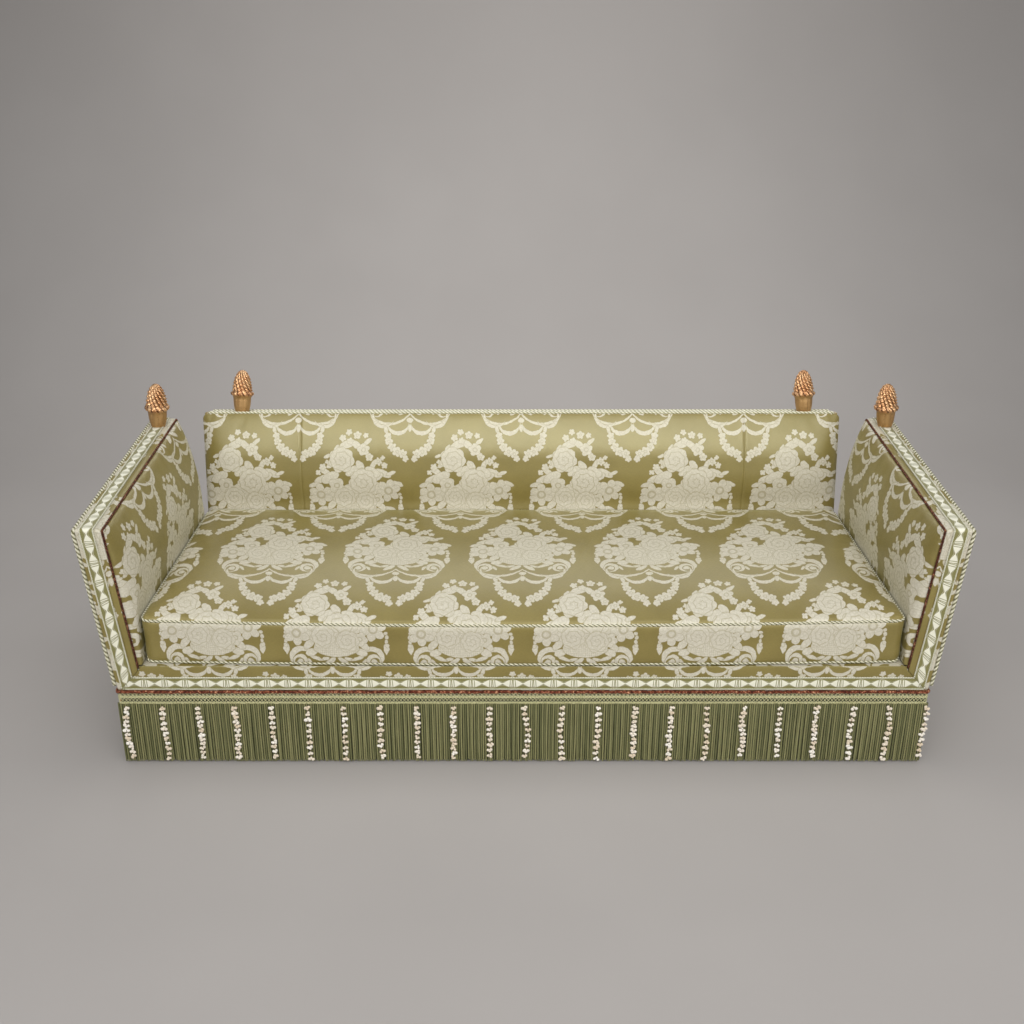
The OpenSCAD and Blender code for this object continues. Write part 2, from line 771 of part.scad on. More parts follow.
module arm_stiles() {
    drop = facing_t + arm_rail_h;
    color("burlywood") place() {
        arm_timber(timber_y0, timber_y0 + arm_stile_w, drop);
        arm_timber(timber_y1 - arm_stile_w, timber_y1, drop);
        difference() {
            arm_timber(arm_mid_y - arm_stile_w / 2, arm_mid_y + arm_stile_w / 2, drop);
            block([inner_x - arm_t, 0, rail_top], [outer_x(arm_rear_z) + over, base_d, arm_bottom_rail_z]);
        }
    }
}

module on_arm_top() {
    y = arm_y1 - arm_finial_inset;
    translate([outer_x(top_z(y)) - arm_t / 2, y, top_z(y) + braid_t])
        rotate([arm_slope, 0, 0]) children();
}

module arm_top_rail() {
    color("burlywood") place() difference() {
        arm_slab(timber_a0, timber_a1, rail_top, rail_top,
            [[timber_y0, top_z(timber_y0) - facing_t - arm_rail_h],
             [timber_y1, top_z(timber_y1) - facing_t - arm_rail_h],
             [timber_y1, top_z(timber_y1) - facing_t],
             [timber_y0, top_z(timber_y0) - facing_t]]);
        on_arm_top() dowel_hole();
    }
}

arm_bottom_rail_z = platform_z + arm_rail_h;

// Point at a radius and angle about the hinge axis, in x and z
function about_hinge(r, t) = [foot_x + r * cos(t), foot_z + r * sin(t)];

// Ratchet quadrant: a toothed bar bent about the hinge axis, its head let into the arm
arm_travel = 84;
ratchet_head_angle = 24;
ratchet_tail_angle = 14;
tooth_lead_angle = 5;
ratchet_t0 = 180 - mitre_angle - ratchet_head_angle;
ratchet_t1 = 180 - mitre_angle + arm_travel + ratchet_tail_angle;
tooth_t0 = 180 - mitre_angle + tooth_lead_angle;
tooth_step = (ratchet_t1 - tooth_t0) / ratchet_teeth;
bar_steps = 16;

ratchet_outline = concat(
    [about_hinge(ratchet_r - tooth_h, ratchet_t0), about_hinge(ratchet_r - tooth_h, tooth_t0)],
    [for (i = [0 : ratchet_teeth - 1], k = [0, 1])
        about_hinge(ratchet_r - k * tooth_h, tooth_t0 + (i + k) * tooth_step)],
    [for (i = [bar_steps : -1 : 0])
        about_hinge(ratchet_r - tooth_h - ratchet_bar_w, lerp(ratchet_t0, ratchet_t1, i / bar_steps))]);

module ratchet_plate() {
    along_y(ratchet_y0, ratchet_y0 + ratchet_t, ratchet_outline);
}

module arm_ratchet() color("slategray") place() ratchet_plate();

module arm_bottom_rail() {
    color("burlywood") place() difference() {
        arm_slab(timber_a0, timber_a1, timber_foot_z(timber_a0), timber_foot_z(timber_a1),
            [[timber_y0 + arm_stile_w, rail_top], [timber_y1 - arm_stile_w, rail_top],
             [timber_y1 - arm_stile_w, arm_bottom_rail_z], [timber_y0 + arm_stile_w, arm_bottom_rail_z]]);
        ratchet_plate();
    }
}

// Spring catch under the sill, its tip beside the ratchet's teeth
catch_angle = 200;
catch_clear = 0.5;
catch_shares = [[0, 0], [0.13, 5], [0.3, 4], [0.45, -3]];

module ratchet_catches() {
    tip = ratchet_r + catch_clear;
    outline = concat([for (p = catch_shares) about_hinge(tip + p[0] * ratchet_r, catch_angle + p[1])],
        [[sill_in_x + leaf_t, rail_top], [sill_in_x + leaf_t + ratchet_bar_w, rail_top]]);
    color("silver") place() both_sides()
        along_y(ratchet_y0, ratchet_y0 + ratchet_t, outline);
}

// Stuffed pad on an arm's inner face: swells from its edges and lies upright beside the cushion
pad_reveal = 2 * edge_cord_r + slack;
pad_y0 = arm_y0 + pad_reveal;
pad_y1 = arm_y1 - pad_reveal;
pad_low_z = platform_z + pad_edge / 4;
pad_clear = 1.5;
pad_along_shares = [0, 0.008, 0.03, 0.07, 0.14, 0.3, 0.5, 0.7, 0.86, 0.93, 0.965, 0.985, 0.996, 1];
pad_up_shares = [0, 0.1, 0.2, 0.3, 0.4, 0.5, 0.6, 0.7, 0.79, 0.87, 0.93, 0.965, 0.99, 1];

function pad_thickness(y, z) = let (
    top = (top_z(y) - pad_reveal - z) / pad_top_roll,
    front = (y - pad_y0) / pad_front_roll,
    rear = (pad_y1 - y) / pad_rear_roll,
    full = pad_edge + pad_swell * roll(top) * roll(front) * roll(rear),
    room = outer_x(z) - pad_a - cushion_w / 2 - pad_clear)
    max(pad_edge, min(full, room));

module arm_pad() {
    n = len(pad_up_shares);
    front_face = [for (u = pad_along_shares, v = pad_up_shares) let (
        y = lerp(pad_y0, pad_y1, u),
        z = lerp(pad_low_z, top_z(y) - pad_reveal, v))
        [outer_x(z) - pad_a - pad_thickness(y, z), y, z]];
    rear_face = [for (u = pad_along_shares, v = pad_up_shares) let (
        y = lerp(pad_y0, pad_y1, u),
        z = lerp(pad_low_z, top_z(y) - pad_reveal, v))
        [outer_x(z) - pad_a, y, z]];
    m = len(pad_along_shares);
    k = m * n;
    sheet = [for (i = [0 : m - 2], j = [0 : n - 2])
        [i * n + j, i * n + j + 1, (i + 1) * n + j + 1, (i + 1) * n + j]];
    quads = concat(
        sheet,
        [for (q = sheet) [q[3] + k, q[2] + k, q[1] + k, q[0] + k]],
        [for (j = [0 : n - 2]) [j + 1, j, j + k, j + 1 + k]],
        [for (j = [0 : n - 2]) let (b = (m - 1) * n) [b + j, b + j + 1, b + j + 1 + k, b + j + k]],
        [for (i = [0 : m - 2]) [i * n, (i + 1) * n, (i + 1) * n + k, i * n + k]],
        [for (i = [0 : m - 2]) let (t = n - 1)
            [(i + 1) * n + t, i * n + t, i * n + t + k, (i + 1) * n + t + k]]);
    color("darkkhaki") place() polyhedron(concat(front_face, rear_face),
        [for (q = quads) each [[q[2], q[1], q[0]], [q[3], q[2], q[0]]]]);
}

cover_foot_z = foot_z + knuckle_r + leaf_t;

module arm_outer_cover() {
    in = 2 * rope_r + slack;
    color("darkkhaki") place() arm_slab(0, arm_cover_t, cover_foot_z, timber_foot_z(arm_cover_t) + slack,
        arm_outline(arm_y0 + in, arm_y1 - in, in));
}

module arm_border() {
    a0 = 2 * rope_depth + slack;
    color("darkkhaki") place() difference() {
        arm_slab(a0, pad_a, foot_z + mitre_line, foot_z + mitre_line, edge_strip(0, facing_t));
        facing_mitre_cut();
        rear_foot_cut();
        on_arm_top() dowel_hole();
    }
}

// Cuts a facing's front foot to the mitre that it shares with the front border
module facing_mitre_cut() {
    x0 = foot_x - level_foot;
    z0 = foot_z + mitre_line;
    far = arm_t + over;
    along_y(arm_y0 - over, arm_mid_y, [[x0, z0],
        [outer_x(z0 + far) - level_foot - far, z0 + far], [x0 - 2 * far, z0 + far], [x0 - 2 * far, z0 - over],
        [x0, z0 - over]]);
}

// Cuts a facing's rear foot to the line of the timber's foot, clear of sill and deck
module rear_foot_cut() {
    low = [foot_x + mitre_run, foot_z - mitre_rise];
    high = [foot_x - 2 * mitre_run, foot_z + 2 * mitre_rise];
    along_y(arm_mid_y, arm_y1 + over, [low, high, [high[0], low[1]]]);
}

module arm_braid() {
    color("beige") place() difference() {
        arm_slab(braid_inset, braid_inset + braid_w, foot_z + mitre_line, foot_z + mitre_line,
            edge_strip(braid_t, 0));
        facing_mitre_cut();
        rear_foot_cut();
        on_arm_top() dowel_hole();
    }
}

// Chain of points round an arm's front, top and rear, at a depth and an inset from its edges
function edge_path(a, inset, low_z) = let (
    near = arm_y0 + inset,
    far = arm_y1 - inset,
    route = [[near, low_z], [near, top_z(near) - inset], [far, top_z(far) - inset], [far, low_z]])
    [for (p = route) [outer_x(p[1]) - a, p[0], p[1]]];

module arm_rope() {
    color("cornsilk") place() chain(edge_path(rope_depth, rope_r, foot_z + 2 * rope_r), rope_r);
}

module arm_cord() {
    low_z = facing_foot_z(arm_t) + edge_cord_r + slack;
    color("maroon") place() chain(edge_path(arm_t - cord_depth, edge_cord_r, low_z), edge_cord_r);
}

module arm_finial() place() on_arm_top() finial();

// Butt hinges: each has two fixed knuckles and one on the arm between them, on one pin

hinge_places = [arm_y0 + hinge_inset, arm_y1 - hinge_inset];
knuckle_len = hinge_len / 3;
knuckle_side_clear = 0.3;
screw_r = 2.2;
leaf_edge = knuckle_r + hinge_play;

// Frame whose x runs down the mitre towards the hinge axis, and whose z is square to the mitre
module on_mitre(y) {
    place() translate([foot_x, y, foot_z]) rotate([0, mitre_angle, 0]) children();
}

module leaf(z0, y0, y1, bore, hinge_y0, hinge_y1) {
    difference() {
        union() {
            block([-leaf_w, hinge_y0, z0], [-leaf_edge, hinge_y1, z0 + leaf_t]);
            block([-leaf_edge, y0, z0], [-bore, y1, z0 + leaf_t]);
            translate([0, y1, 0]) rotate([90, 0, 0]) cylinder(h = y1 - y0, r = knuckle_r, $fn = round_sides);
        }
        translate([0, y1 + over, 0]) rotate([90, 0, 0])
            cylinder(h = y1 - y0 + 2 * over, r = bore, $fn = round_sides);
        for (y = [hinge_y0 + knuckle_len / 2, hinge_y1 - knuckle_len / 2])
            translate([-(leaf_w + leaf_edge) / 2, y, z0 - over])
                cylinder(h = leaf_t + 2 * over, r = screw_r, $fn = round_sides / 2);
    }
}

module base_hinge_leaves() {
    half = hinge_len / 2;
    color("goldenrod") both_sides() for (y = hinge_places) on_mitre(y) {
        leaf(-hinge_gap, -half, -half + knuckle_len, pin_r, -half, half);
        leaf(-hinge_gap, half - knuckle_len, half, pin_r, -half, half);
    }
}

module hinge_pins() {
    color("silver") both_sides() for (y = hinge_places) on_mitre(y)
        translate([0, hinge_len / 2, 0]) rotate([90, 0, 0])
            cylinder(h = hinge_len, r = pin_r, $fn = round_sides);
}

module arm_hinge_leaves() {
    half = hinge_len / 2;
    near = knuckle_len / 2 - knuckle_side_clear;
    color("goldenrod") for (y = hinge_places) on_mitre(y)
        leaf(-leaf_t, -near, near, pin_r + pin_clear, -half, half);
}

// Mirrored and plain arm nodes

module left_arm_stiles() flip_left() arm_stiles();
module left_arm_top_rail() flip_left() arm_top_rail();
module left_arm_bottom_rail() flip_left() arm_bottom_rail();
module left_arm_pad() flip_left() arm_pad();
module left_arm_outer_cover() flip_left() arm_outer_cover();
module left_arm_border() flip_left() arm_border();
module left_arm_braid() flip_left() arm_braid();
module left_arm_rope() flip_left() arm_rope();
module left_arm_cord() flip_left() arm_cord();
module left_arm_finial() flip_left() arm_finial();
module left_arm_hinge_leaves() flip_left() arm_hinge_leaves();
module left_arm_ratchet() flip_left() arm_ratchet();

// Loose bench cushion and its piping

cushion_y0 = cushion_setback;
cushion_back_gap = 1;
piping_seat = 2 * piping_r + (piping_r + 2 * slack) * sqrt(2);
crown_depth = 280;

// Depth of the cushion at a height: its rear face follows the raked back
function cushion_y1(z) = back_plane_y(0, z) - cushion_back_gap;

function cushion_ring(inset, z, pull) = let (
    half_d = (cushion_y1(z) - cushion_y0) / 2,
    mid = (cushion_y1(z) + cushion_y0) / 2)
    [for (p = plan_ring(cushion_w / 2, half_d, cushion_corner_r, inset, pull)) [p[0], mid + p[1], z]];

module seat_cushion() {
    high = seat_z - piping_seat;
    low = cushion_low_z + piping_seat;
    mid = (high + low) / 2;
    rings = concat(
        [cushion_ring(piping_seat, cushion_low_z, 0), cushion_ring(0, low, 0),
         cushion_ring(cushion_draw_in / 2, mid, cushion_draw_in / 2), cushion_ring(0, high, 0)],
        [for (q = roll_shares) let (inset = piping_seat + q * crown_depth)
            [for (p = cushion_ring(inset, seat_z, 0)) [p[0], p[1], seat_z + cushion_crown * roll(q)]]]);
    color("darkkhaki") place() ring_stack(rings);
}

module piping_loop(z) {
    x = cushion_w / 2 - piping_r;
    y0 = cushion_y0 + piping_r;
    y1 = cushion_y1(z) - piping_r;
    r = cushion_corner_r - piping_r;
    for (y = [y0, y1]) rod([-x + r, y, z], [x - r, y, z], piping_r);
    for (s = [-1, 1]) rod([s * x, y0 + r, z], [s * x, y1 - r, z], piping_r);
    for (c = [[x - r, y1 - r, 0], [-x + r, y1 - r, 90], [-x + r, y0 + r, 180], [x - r, y0 + r, 270]])
        translate([c[0], c[1], z]) rotate([0, 0, c[2]])
            rotate_extrude(angle = 90, $fn = round_sides) translate([r, 0]) circle(r = piping_r);
}

module cushion_piping() {
    color("cornsilk") place() {
        piping_loop(seat_z - piping_r);
        piping_loop(cushion_low_z + piping_r);
    }
}

module right_arm_stiles() arm_stiles();
module right_arm_top_rail() arm_top_rail();
module right_arm_bottom_rail() arm_bottom_rail();
module right_arm_pad() arm_pad();
module right_arm_outer_cover() arm_outer_cover();
module right_arm_border() arm_border();
module right_arm_braid() arm_braid();
module right_arm_rope() arm_rope();
module right_arm_cord() arm_cord();
module right_arm_finial() arm_finial();
module right_arm_hinge_leaves() arm_hinge_leaves();
module right_arm_ratchet() arm_ratchet();

front_seat_rail();
rear_seat_rail();
side_seat_rails();
seat_cross_rails();
corner_blocks();
turned_feet();
side_sills();
seat_webbing();
seat_springs();
seat_hessian();
seat_deck();
dust_cover();
front_border();
front_braid();
base_cord();
fringe_heading();
fringe_front();
fringe_left();
fringe_right();
fringe_rear();
floret_tufts();
back_stiles();
back_top_rail();
back_bottom_rail();
back_webbing();
back_pad();
back_outside_cover();
back_top_band();
back_cords();
left_back_finial();
right_back_finial();
base_hinge_leaves();
hinge_pins();
ratchet_catches();
left_arm_stiles();
left_arm_top_rail();
left_arm_bottom_rail();
left_arm_pad();
left_arm_outer_cover();
left_arm_border();
left_arm_braid();
left_arm_rope();
left_arm_cord();
left_arm_finial();
left_arm_hinge_leaves();
left_arm_ratchet();
right_arm_stiles();
right_arm_top_rail();
right_arm_bottom_rail();
right_arm_pad();
right_arm_outer_cover();
right_arm_border();
right_arm_braid();
right_arm_rope();
right_arm_cord();
right_arm_finial();
right_arm_hinge_leaves();
right_arm_ratchet();
seat_cushion();
cushion_piping();
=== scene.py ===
import json
import math

import bmesh
import bpy
import numpy as np
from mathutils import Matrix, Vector

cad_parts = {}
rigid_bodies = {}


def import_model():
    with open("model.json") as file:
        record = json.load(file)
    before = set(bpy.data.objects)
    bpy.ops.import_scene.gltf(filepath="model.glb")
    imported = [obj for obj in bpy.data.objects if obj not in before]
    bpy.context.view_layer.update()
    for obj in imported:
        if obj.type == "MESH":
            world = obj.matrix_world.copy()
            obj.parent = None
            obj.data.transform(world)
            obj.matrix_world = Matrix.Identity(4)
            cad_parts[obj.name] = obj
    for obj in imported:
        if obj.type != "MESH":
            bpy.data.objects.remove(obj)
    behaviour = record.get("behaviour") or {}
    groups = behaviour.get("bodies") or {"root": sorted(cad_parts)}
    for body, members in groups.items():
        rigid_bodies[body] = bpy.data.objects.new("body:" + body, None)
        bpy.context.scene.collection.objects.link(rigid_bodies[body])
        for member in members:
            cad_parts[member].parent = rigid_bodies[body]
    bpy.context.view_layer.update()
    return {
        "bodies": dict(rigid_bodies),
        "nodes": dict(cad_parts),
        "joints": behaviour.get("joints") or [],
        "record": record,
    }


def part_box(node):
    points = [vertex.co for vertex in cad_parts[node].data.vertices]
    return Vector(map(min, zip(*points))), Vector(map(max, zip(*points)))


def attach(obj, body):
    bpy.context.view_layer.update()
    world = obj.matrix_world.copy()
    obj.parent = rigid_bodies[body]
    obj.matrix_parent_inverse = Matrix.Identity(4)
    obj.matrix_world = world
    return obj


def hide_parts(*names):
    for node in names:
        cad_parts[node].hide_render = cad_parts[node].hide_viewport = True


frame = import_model()
nodes = frame["nodes"]
rng = np.random.default_rng(1905)

# Millimetres below, as in the part's source: x across, y back from the front rail's face, z up.
MM = 0.001
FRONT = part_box("front_seat_rail")[0].y
BASE_W, BASE_D, RAIL_TOP, FOOT_H = 2262.0, 848.0, 235.0, 135.0
RAIL_X = BASE_W / 2
PLATFORM_Z, DECK_LOW_Z = 314.5, 284.0
SEAT_Z, CUSHION_LOW_Z = 449.8, 314.8
CUSHION_W, CUSHION_Y0, CUSHION_R, CROWN, PIPING_R = 2112.0, 16.0, 34.0, 20.0, 4.0
ARM_T, ARM_Y0, ARM_Y1 = 88.0, -4.0, 781.0
ARM_FRONT_Z, ARM_REAR_Z = 727.0, 782.0
SPLAY = math.radians(6.1)
FOOT_X, FOOT_Z = 1145.0, 241.0
ROPE_R, EDGE_CORD_R, TOP_CORD_R, BASE_CORD_R = 6.2, 3.0, 3.0, 5.0
# The part's source draws a slightly fuller ball at each bend of a cord: its radius as a share of the cord's
BALL = 1.03
# Repeats of the damask, of the damask on the front, and of the braid
REPEAT, FRONT_REPEAT, MOTIF = 370.0, 343.0, 57.0
ROPE_DEPTH = ROPE_R * BALL / math.cos(SPLAY)
CORD_DEPTH = EDGE_CORD_R * BALL / math.cos(SPLAY)
PAD_EDGE = 2 * CORD_DEPTH + 0.3
PAD_A = ARM_T - PAD_EDGE
MITRE_RISE = PLATFORM_Z - FOOT_Z
BACK_W, BACK_Y, BACK_H, BACK_TOP, BACK_LOW = 2120.0, 811.0, 326.0, 322.0, -127.0
RAKE = math.radians(10.8)
BACK_PAD_T, BACK_T, BACK_SWELL = 38.0, 75.0, 13.0
BRAID_W, BRAID_INSET, BRAID_T, FACING_T = 39.0, 24.5, 3.0, 4.0
BRAID_LIFT, BEAD_IN = 0.6, 1.6
CORD_Z = 234.7
HEADING_LOW, HEADING_TOP = 195.4, 229.4
BORDER_LOW = 240.0
BRAID_LOW = BORDER_LOW + BRAID_T
LEVEL_FOOT = BRAID_INSET - (BRAID_LOW - FOOT_Z)
FINIAL_R, FINIAL_H = 38.0, 152.0


def smoothstep(x):
    x = np.clip(x, 0, 1)
    return x * x * (3 - 2 * x)


def roll(q):
    p = np.clip(q, 0, 1)
    return np.sqrt(1 - (1 - p) ** 2)


def zipped(*values):
    """Arrays side by side as one, such as x, y and z as points"""
    return np.stack(np.broadcast_arrays(*values), -1)


def crossed(rows, cols):
    return np.meshgrid(rows, cols, indexing="ij")


def lengths_along(points):
    return np.concatenate([[0], np.cumsum(np.linalg.norm(np.diff(points, axis=0), axis=1))])


def wander(x, seed, scale):
    """Smooth noise along a line or over several: sines of seeded phase"""
    local = np.random.default_rng(seed)
    total = np.zeros_like(np.asarray(x, float))
    for k in range(5):
        total += np.sin(np.asarray(x) * scale * (0.6 + 0.55 * k) + local.uniform(0, 6.28)) / (k + 1)
    return total / 2


# ---------------------------------------------------------------- meshes

class Skin:
    """Collects grids of points, in millimetres, into one mesh"""

    def __init__(self):
        self.points, self.quads, self.uvs, self.tris, self.tri_uvs, self.count = [], [], [], [], [], 0

    def grid(self, points, uv, wrap=False, keep=None):
        points = np.asarray(points, float)
        uv = np.asarray(uv, float)
        rows, cols = points.shape[:2]
        i, j = np.meshgrid(np.arange(rows - 1), np.arange(cols if wrap else cols - 1), indexing="ij")
        k = (j + 1) % cols
        quad = zipped(i * cols + j, i * cols + k, (i + 1) * cols + k, (i + 1) * cols + j)
        corner = np.stack([uv[i, j], uv[i, j + 1], uv[i + 1, j + 1], uv[i + 1, j]], -2)
        if keep is not None:
            quad, corner = quad[keep], corner[keep]
        self.points.append(points.reshape(-1, 3))
        self.quads.append(quad.reshape(-1, 4) + self.count)
        self.uvs.append(corner.reshape(-1, 2))
        self.count += rows * cols

    def cap(self, ring, centre, uv=(0.0, 0.0)):
        """Fan from a ring of points to a centre"""
        ring = np.asarray(ring, float)
        n = len(ring)
        self.points.append(np.vstack([ring, [centre]]))
        j = np.arange(n)
        self.tris.append(zipped(j, (j + 1) % n, np.full(n, n)) + self.count)
        self.tri_uvs.append(np.tile(np.asarray(uv, float), (3 * n, 1)))
        self.count += n + 1

    def build(self, name, material, weld=0.0, normals=True, sharp=None, mirrored=False):
        points = np.vstack(self.points) * MM
        points[:, 1] += FRONT
        if mirrored:
            points[:, 0] *= -1
        faces = self.quads + self.tris
        loops = np.concatenate([f.ravel() for f in faces])
        sizes = np.concatenate([np.full(len(f), f.shape[1]) for f in faces])
        starts = np.concatenate([[0], np.cumsum(sizes)[:-1]])
        mesh = bpy.data.meshes.new(name)
        mesh.vertices.add(len(points))
        mesh.vertices.foreach_set("co", points.astype(np.float32).ravel())
        mesh.loops.add(len(loops))
        mesh.loops.foreach_set("vertex_index", loops.astype(np.int32))
        mesh.polygons.add(len(sizes))
        mesh.polygons.foreach_set("loop_start", starts.astype(np.int32))
        mesh.update(calc_edges=True)
        layer = mesh.uv_layers.new(name="Fabric")
        layer.data.foreach_set("uv", np.vstack(self.uvs + self.tri_uvs).astype(np.float32).ravel())
        if weld or normals or mirrored:
            bm = bmesh.new()
            bm.from_mesh(mesh)
            if weld:
                bmesh.ops.remove_doubles(bm, verts=bm.verts, dist=weld * MM)
                bmesh.ops.delete(bm, geom=[v for v in bm.verts if not v.link_faces], context="VERTS")
            if normals:
                bmesh.ops.recalc_face_normals(bm, faces=bm.faces)
            elif mirrored:
                bmesh.ops.reverse_faces(bm, faces=bm.faces)
            bm.to_mesh(mesh)
            bm.free()
        mesh.shade_smooth()
        if sharp:
            mesh.set_sharp_from_angle(angle=math.radians(sharp))
        mesh.materials.append(material)
        piece = bpy.data.objects.new(name, mesh)
        bpy.context.scene.collection.objects.link(piece)
        return piece


def closed_slab(skin, face, back, face_uv, keep=None):
    """Closed pad between two equal grids of points; keep leaves out cells where there is a hole"""
    face, back, face_uv = (np.asarray(a, float) for a in (face, back, face_uv))
    skin.grid(face, face_uv, keep=keep)
    skin.grid(back[:, ::-1], face_uv[:, ::-1], keep=None if keep is None else keep[:, ::-1])
    every = slice(None)
    for edge, inner in (((every, 0), (every, 1)), ((every, -1), (every, -2)), ((0, every), (1, every)),
                        ((-1, every), (-2, every))):
        # The cloth's map runs on over the edge
        onward = face_uv[edge] - face_uv[inner]
        onward /= np.maximum(np.linalg.norm(onward, axis=-1, keepdims=True), 1e-9)
        deep = np.linalg.norm(face[edge] - back[edge], axis=-1, keepdims=True) / REPEAT
        skin.grid(np.stack([face[edge], back[edge]]), np.stack([face_uv[edge], face_uv[edge] + onward * deep]))


def resample(path, step, closed=False):
    path = np.asarray(path, float)
    if closed:
        path = np.vstack([path, path[:1]])
    lengths = lengths_along(path)
    n = max(2, int(round(lengths[-1] / step)))
    s = np.linspace(0, lengths[-1], n + 1)
    return np.stack([np.interp(s, lengths, path[:, k]) for k in range(3)], -1)


def rounded(corners, radius, closed=False, steps=6):
    """Chain of points with its inner corners turned on a small radius"""
    corners = [np.asarray(c, float) for c in corners]
    n = len(corners)
    out = []
    for i, p in enumerate(corners):
        if not closed and i in (0, n - 1):
            out.append(p)
            continue
        a, b = corners[(i - 1) % n], corners[(i + 1) % n]
        near = p + (a - p) / np.linalg.norm(a - p) * radius
        far = p + (b - p) / np.linalg.norm(b - p) * radius
        for k in range(steps + 1):
            t = k / steps
            out.append((1 - t) ** 2 * near + 2 * t * (1 - t) * p + t * t * far)
    return np.array(out)


def tube(skin, path, radius, sides=10, lobes=0, depth=0.0, lead=0.0, rough=0.0, beads=0.0,
         closed=False, caps=True, tag=0):
    """Round or lobed section, twisted along a path. The map holds turns round it and its length in leads;
    a whole number added to the turns tells one cord from another."""
    path = np.asarray(path, float)
    n = len(path)
    tangent = np.gradient(path, axis=0)
    if closed:
        tangent = np.roll(path[:-1], -1, 0) - np.roll(path[:-1], 1, 0)
        tangent = np.vstack([tangent, tangent[:1]])
    tangent /= np.maximum(np.linalg.norm(tangent, axis=1, keepdims=True), 1e-9)
    normal = np.zeros_like(path)
    first = np.cross(tangent[0], [0.31, 0.42, 0.85])
    normal[0] = first / np.linalg.norm(first)
    for i in range(1, n):
        v = normal[i - 1] - tangent[i] * np.dot(normal[i - 1], tangent[i])
        normal[i] = v / np.linalg.norm(v)
    across = np.cross(tangent, normal)
    s = lengths_along(path)
    phi = np.arange(sides) * 2 * math.pi / sides
    section = np.ones(sides) if not lobes else 1 - depth * (0.5 - 0.5 * np.cos(lobes * phi))
    turn = 2 * math.pi * s / lead if lead else np.zeros(n)
    r = np.tile(radius * section, (n, 1))
    if beads:
        r *= (0.62 + 0.38 * np.abs(np.sin(math.pi * s / beads)))[:, None] ** 0.8
    if rough:
        r += rng.uniform(-rough, rough, r.shape)
        if closed:
            r[-1] = r[0]
    angle = phi[None, :] + turn[:, None]
    ring = path[:, None, :] + r[..., None] * (
        np.cos(angle)[..., None] * normal[:, None, :] + np.sin(angle)[..., None] * across[:, None, :])
    u = tag + np.tile(np.arange(sides + 1) / sides * 0.998, (n, 1))
    v = np.tile((s / (lead or 10.0))[:, None], (1, sides + 1))
    skin.grid(ring, zipped(u, v), wrap=True)
    if caps and not closed:
        skin.cap(ring[0][::-1], path[0])
        skin.cap(ring[-1], path[-1])


def blob(skin, centre, radii, yaw, tilt, tone):
    """Small closed lump, such as one petal of silk"""
    rings, sides = 5, 8
    t = np.linspace(0.06, math.pi - 0.06, rings)[:, None]
    p = np.arange(sides) * 2 * math.pi / sides
    x, y = np.sin(t) * np.cos(p) * radii[0], np.sin(t) * np.sin(p) * radii[1]
    z = np.cos(t) * np.ones(sides) * radii[2]
    ct, st, cy, sy = math.cos(tilt), math.sin(tilt), math.cos(yaw), math.sin(yaw)
    x, z = x * ct + z * st, -x * st + z * ct
    x, y = x * cy - y * sy, x * sy + y * cy
    points = zipped(x, y, z) + np.asarray(centre)
    skin.grid(points, np.tile(np.asarray(tone, float), (rings, sides + 1, 1)), wrap=True)
    skin.cap(points[0][::-1], points[0].mean(0), tone)
    skin.cap(points[-1], points[-1].mean(0), tone)


def slab(name, material, face, back, uv, weld=0.05, sharp=None, mirrored=False):
    skin = Skin()
    closed_slab(skin, face, back, uv)
    return skin.build(name, material, weld=weld, sharp=sharp, mirrored=mirrored)


def dress(piece, body, node=None):
    """The body that a piece rides and the CAD node that it stands for"""
    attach(piece, body)
    if node:
        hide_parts(node)


# ---------------------------------------------------------------- shader nodes

MATH = {
    "add": "ADD", "sub": "SUBTRACT", "mul": "MULTIPLY", "mad": "MULTIPLY_ADD", "low": "MINIMUM", "high": "MAXIMUM",
    "size": "ABSOLUTE", "sine": "SINE", "cosine": "COSINE", "part": "FRACT", "whole": "ROUND", "floor": "FLOOR",
    "root": "SQRT", "angle": "ARCTAN2", "less": "LESS_THAN",
}


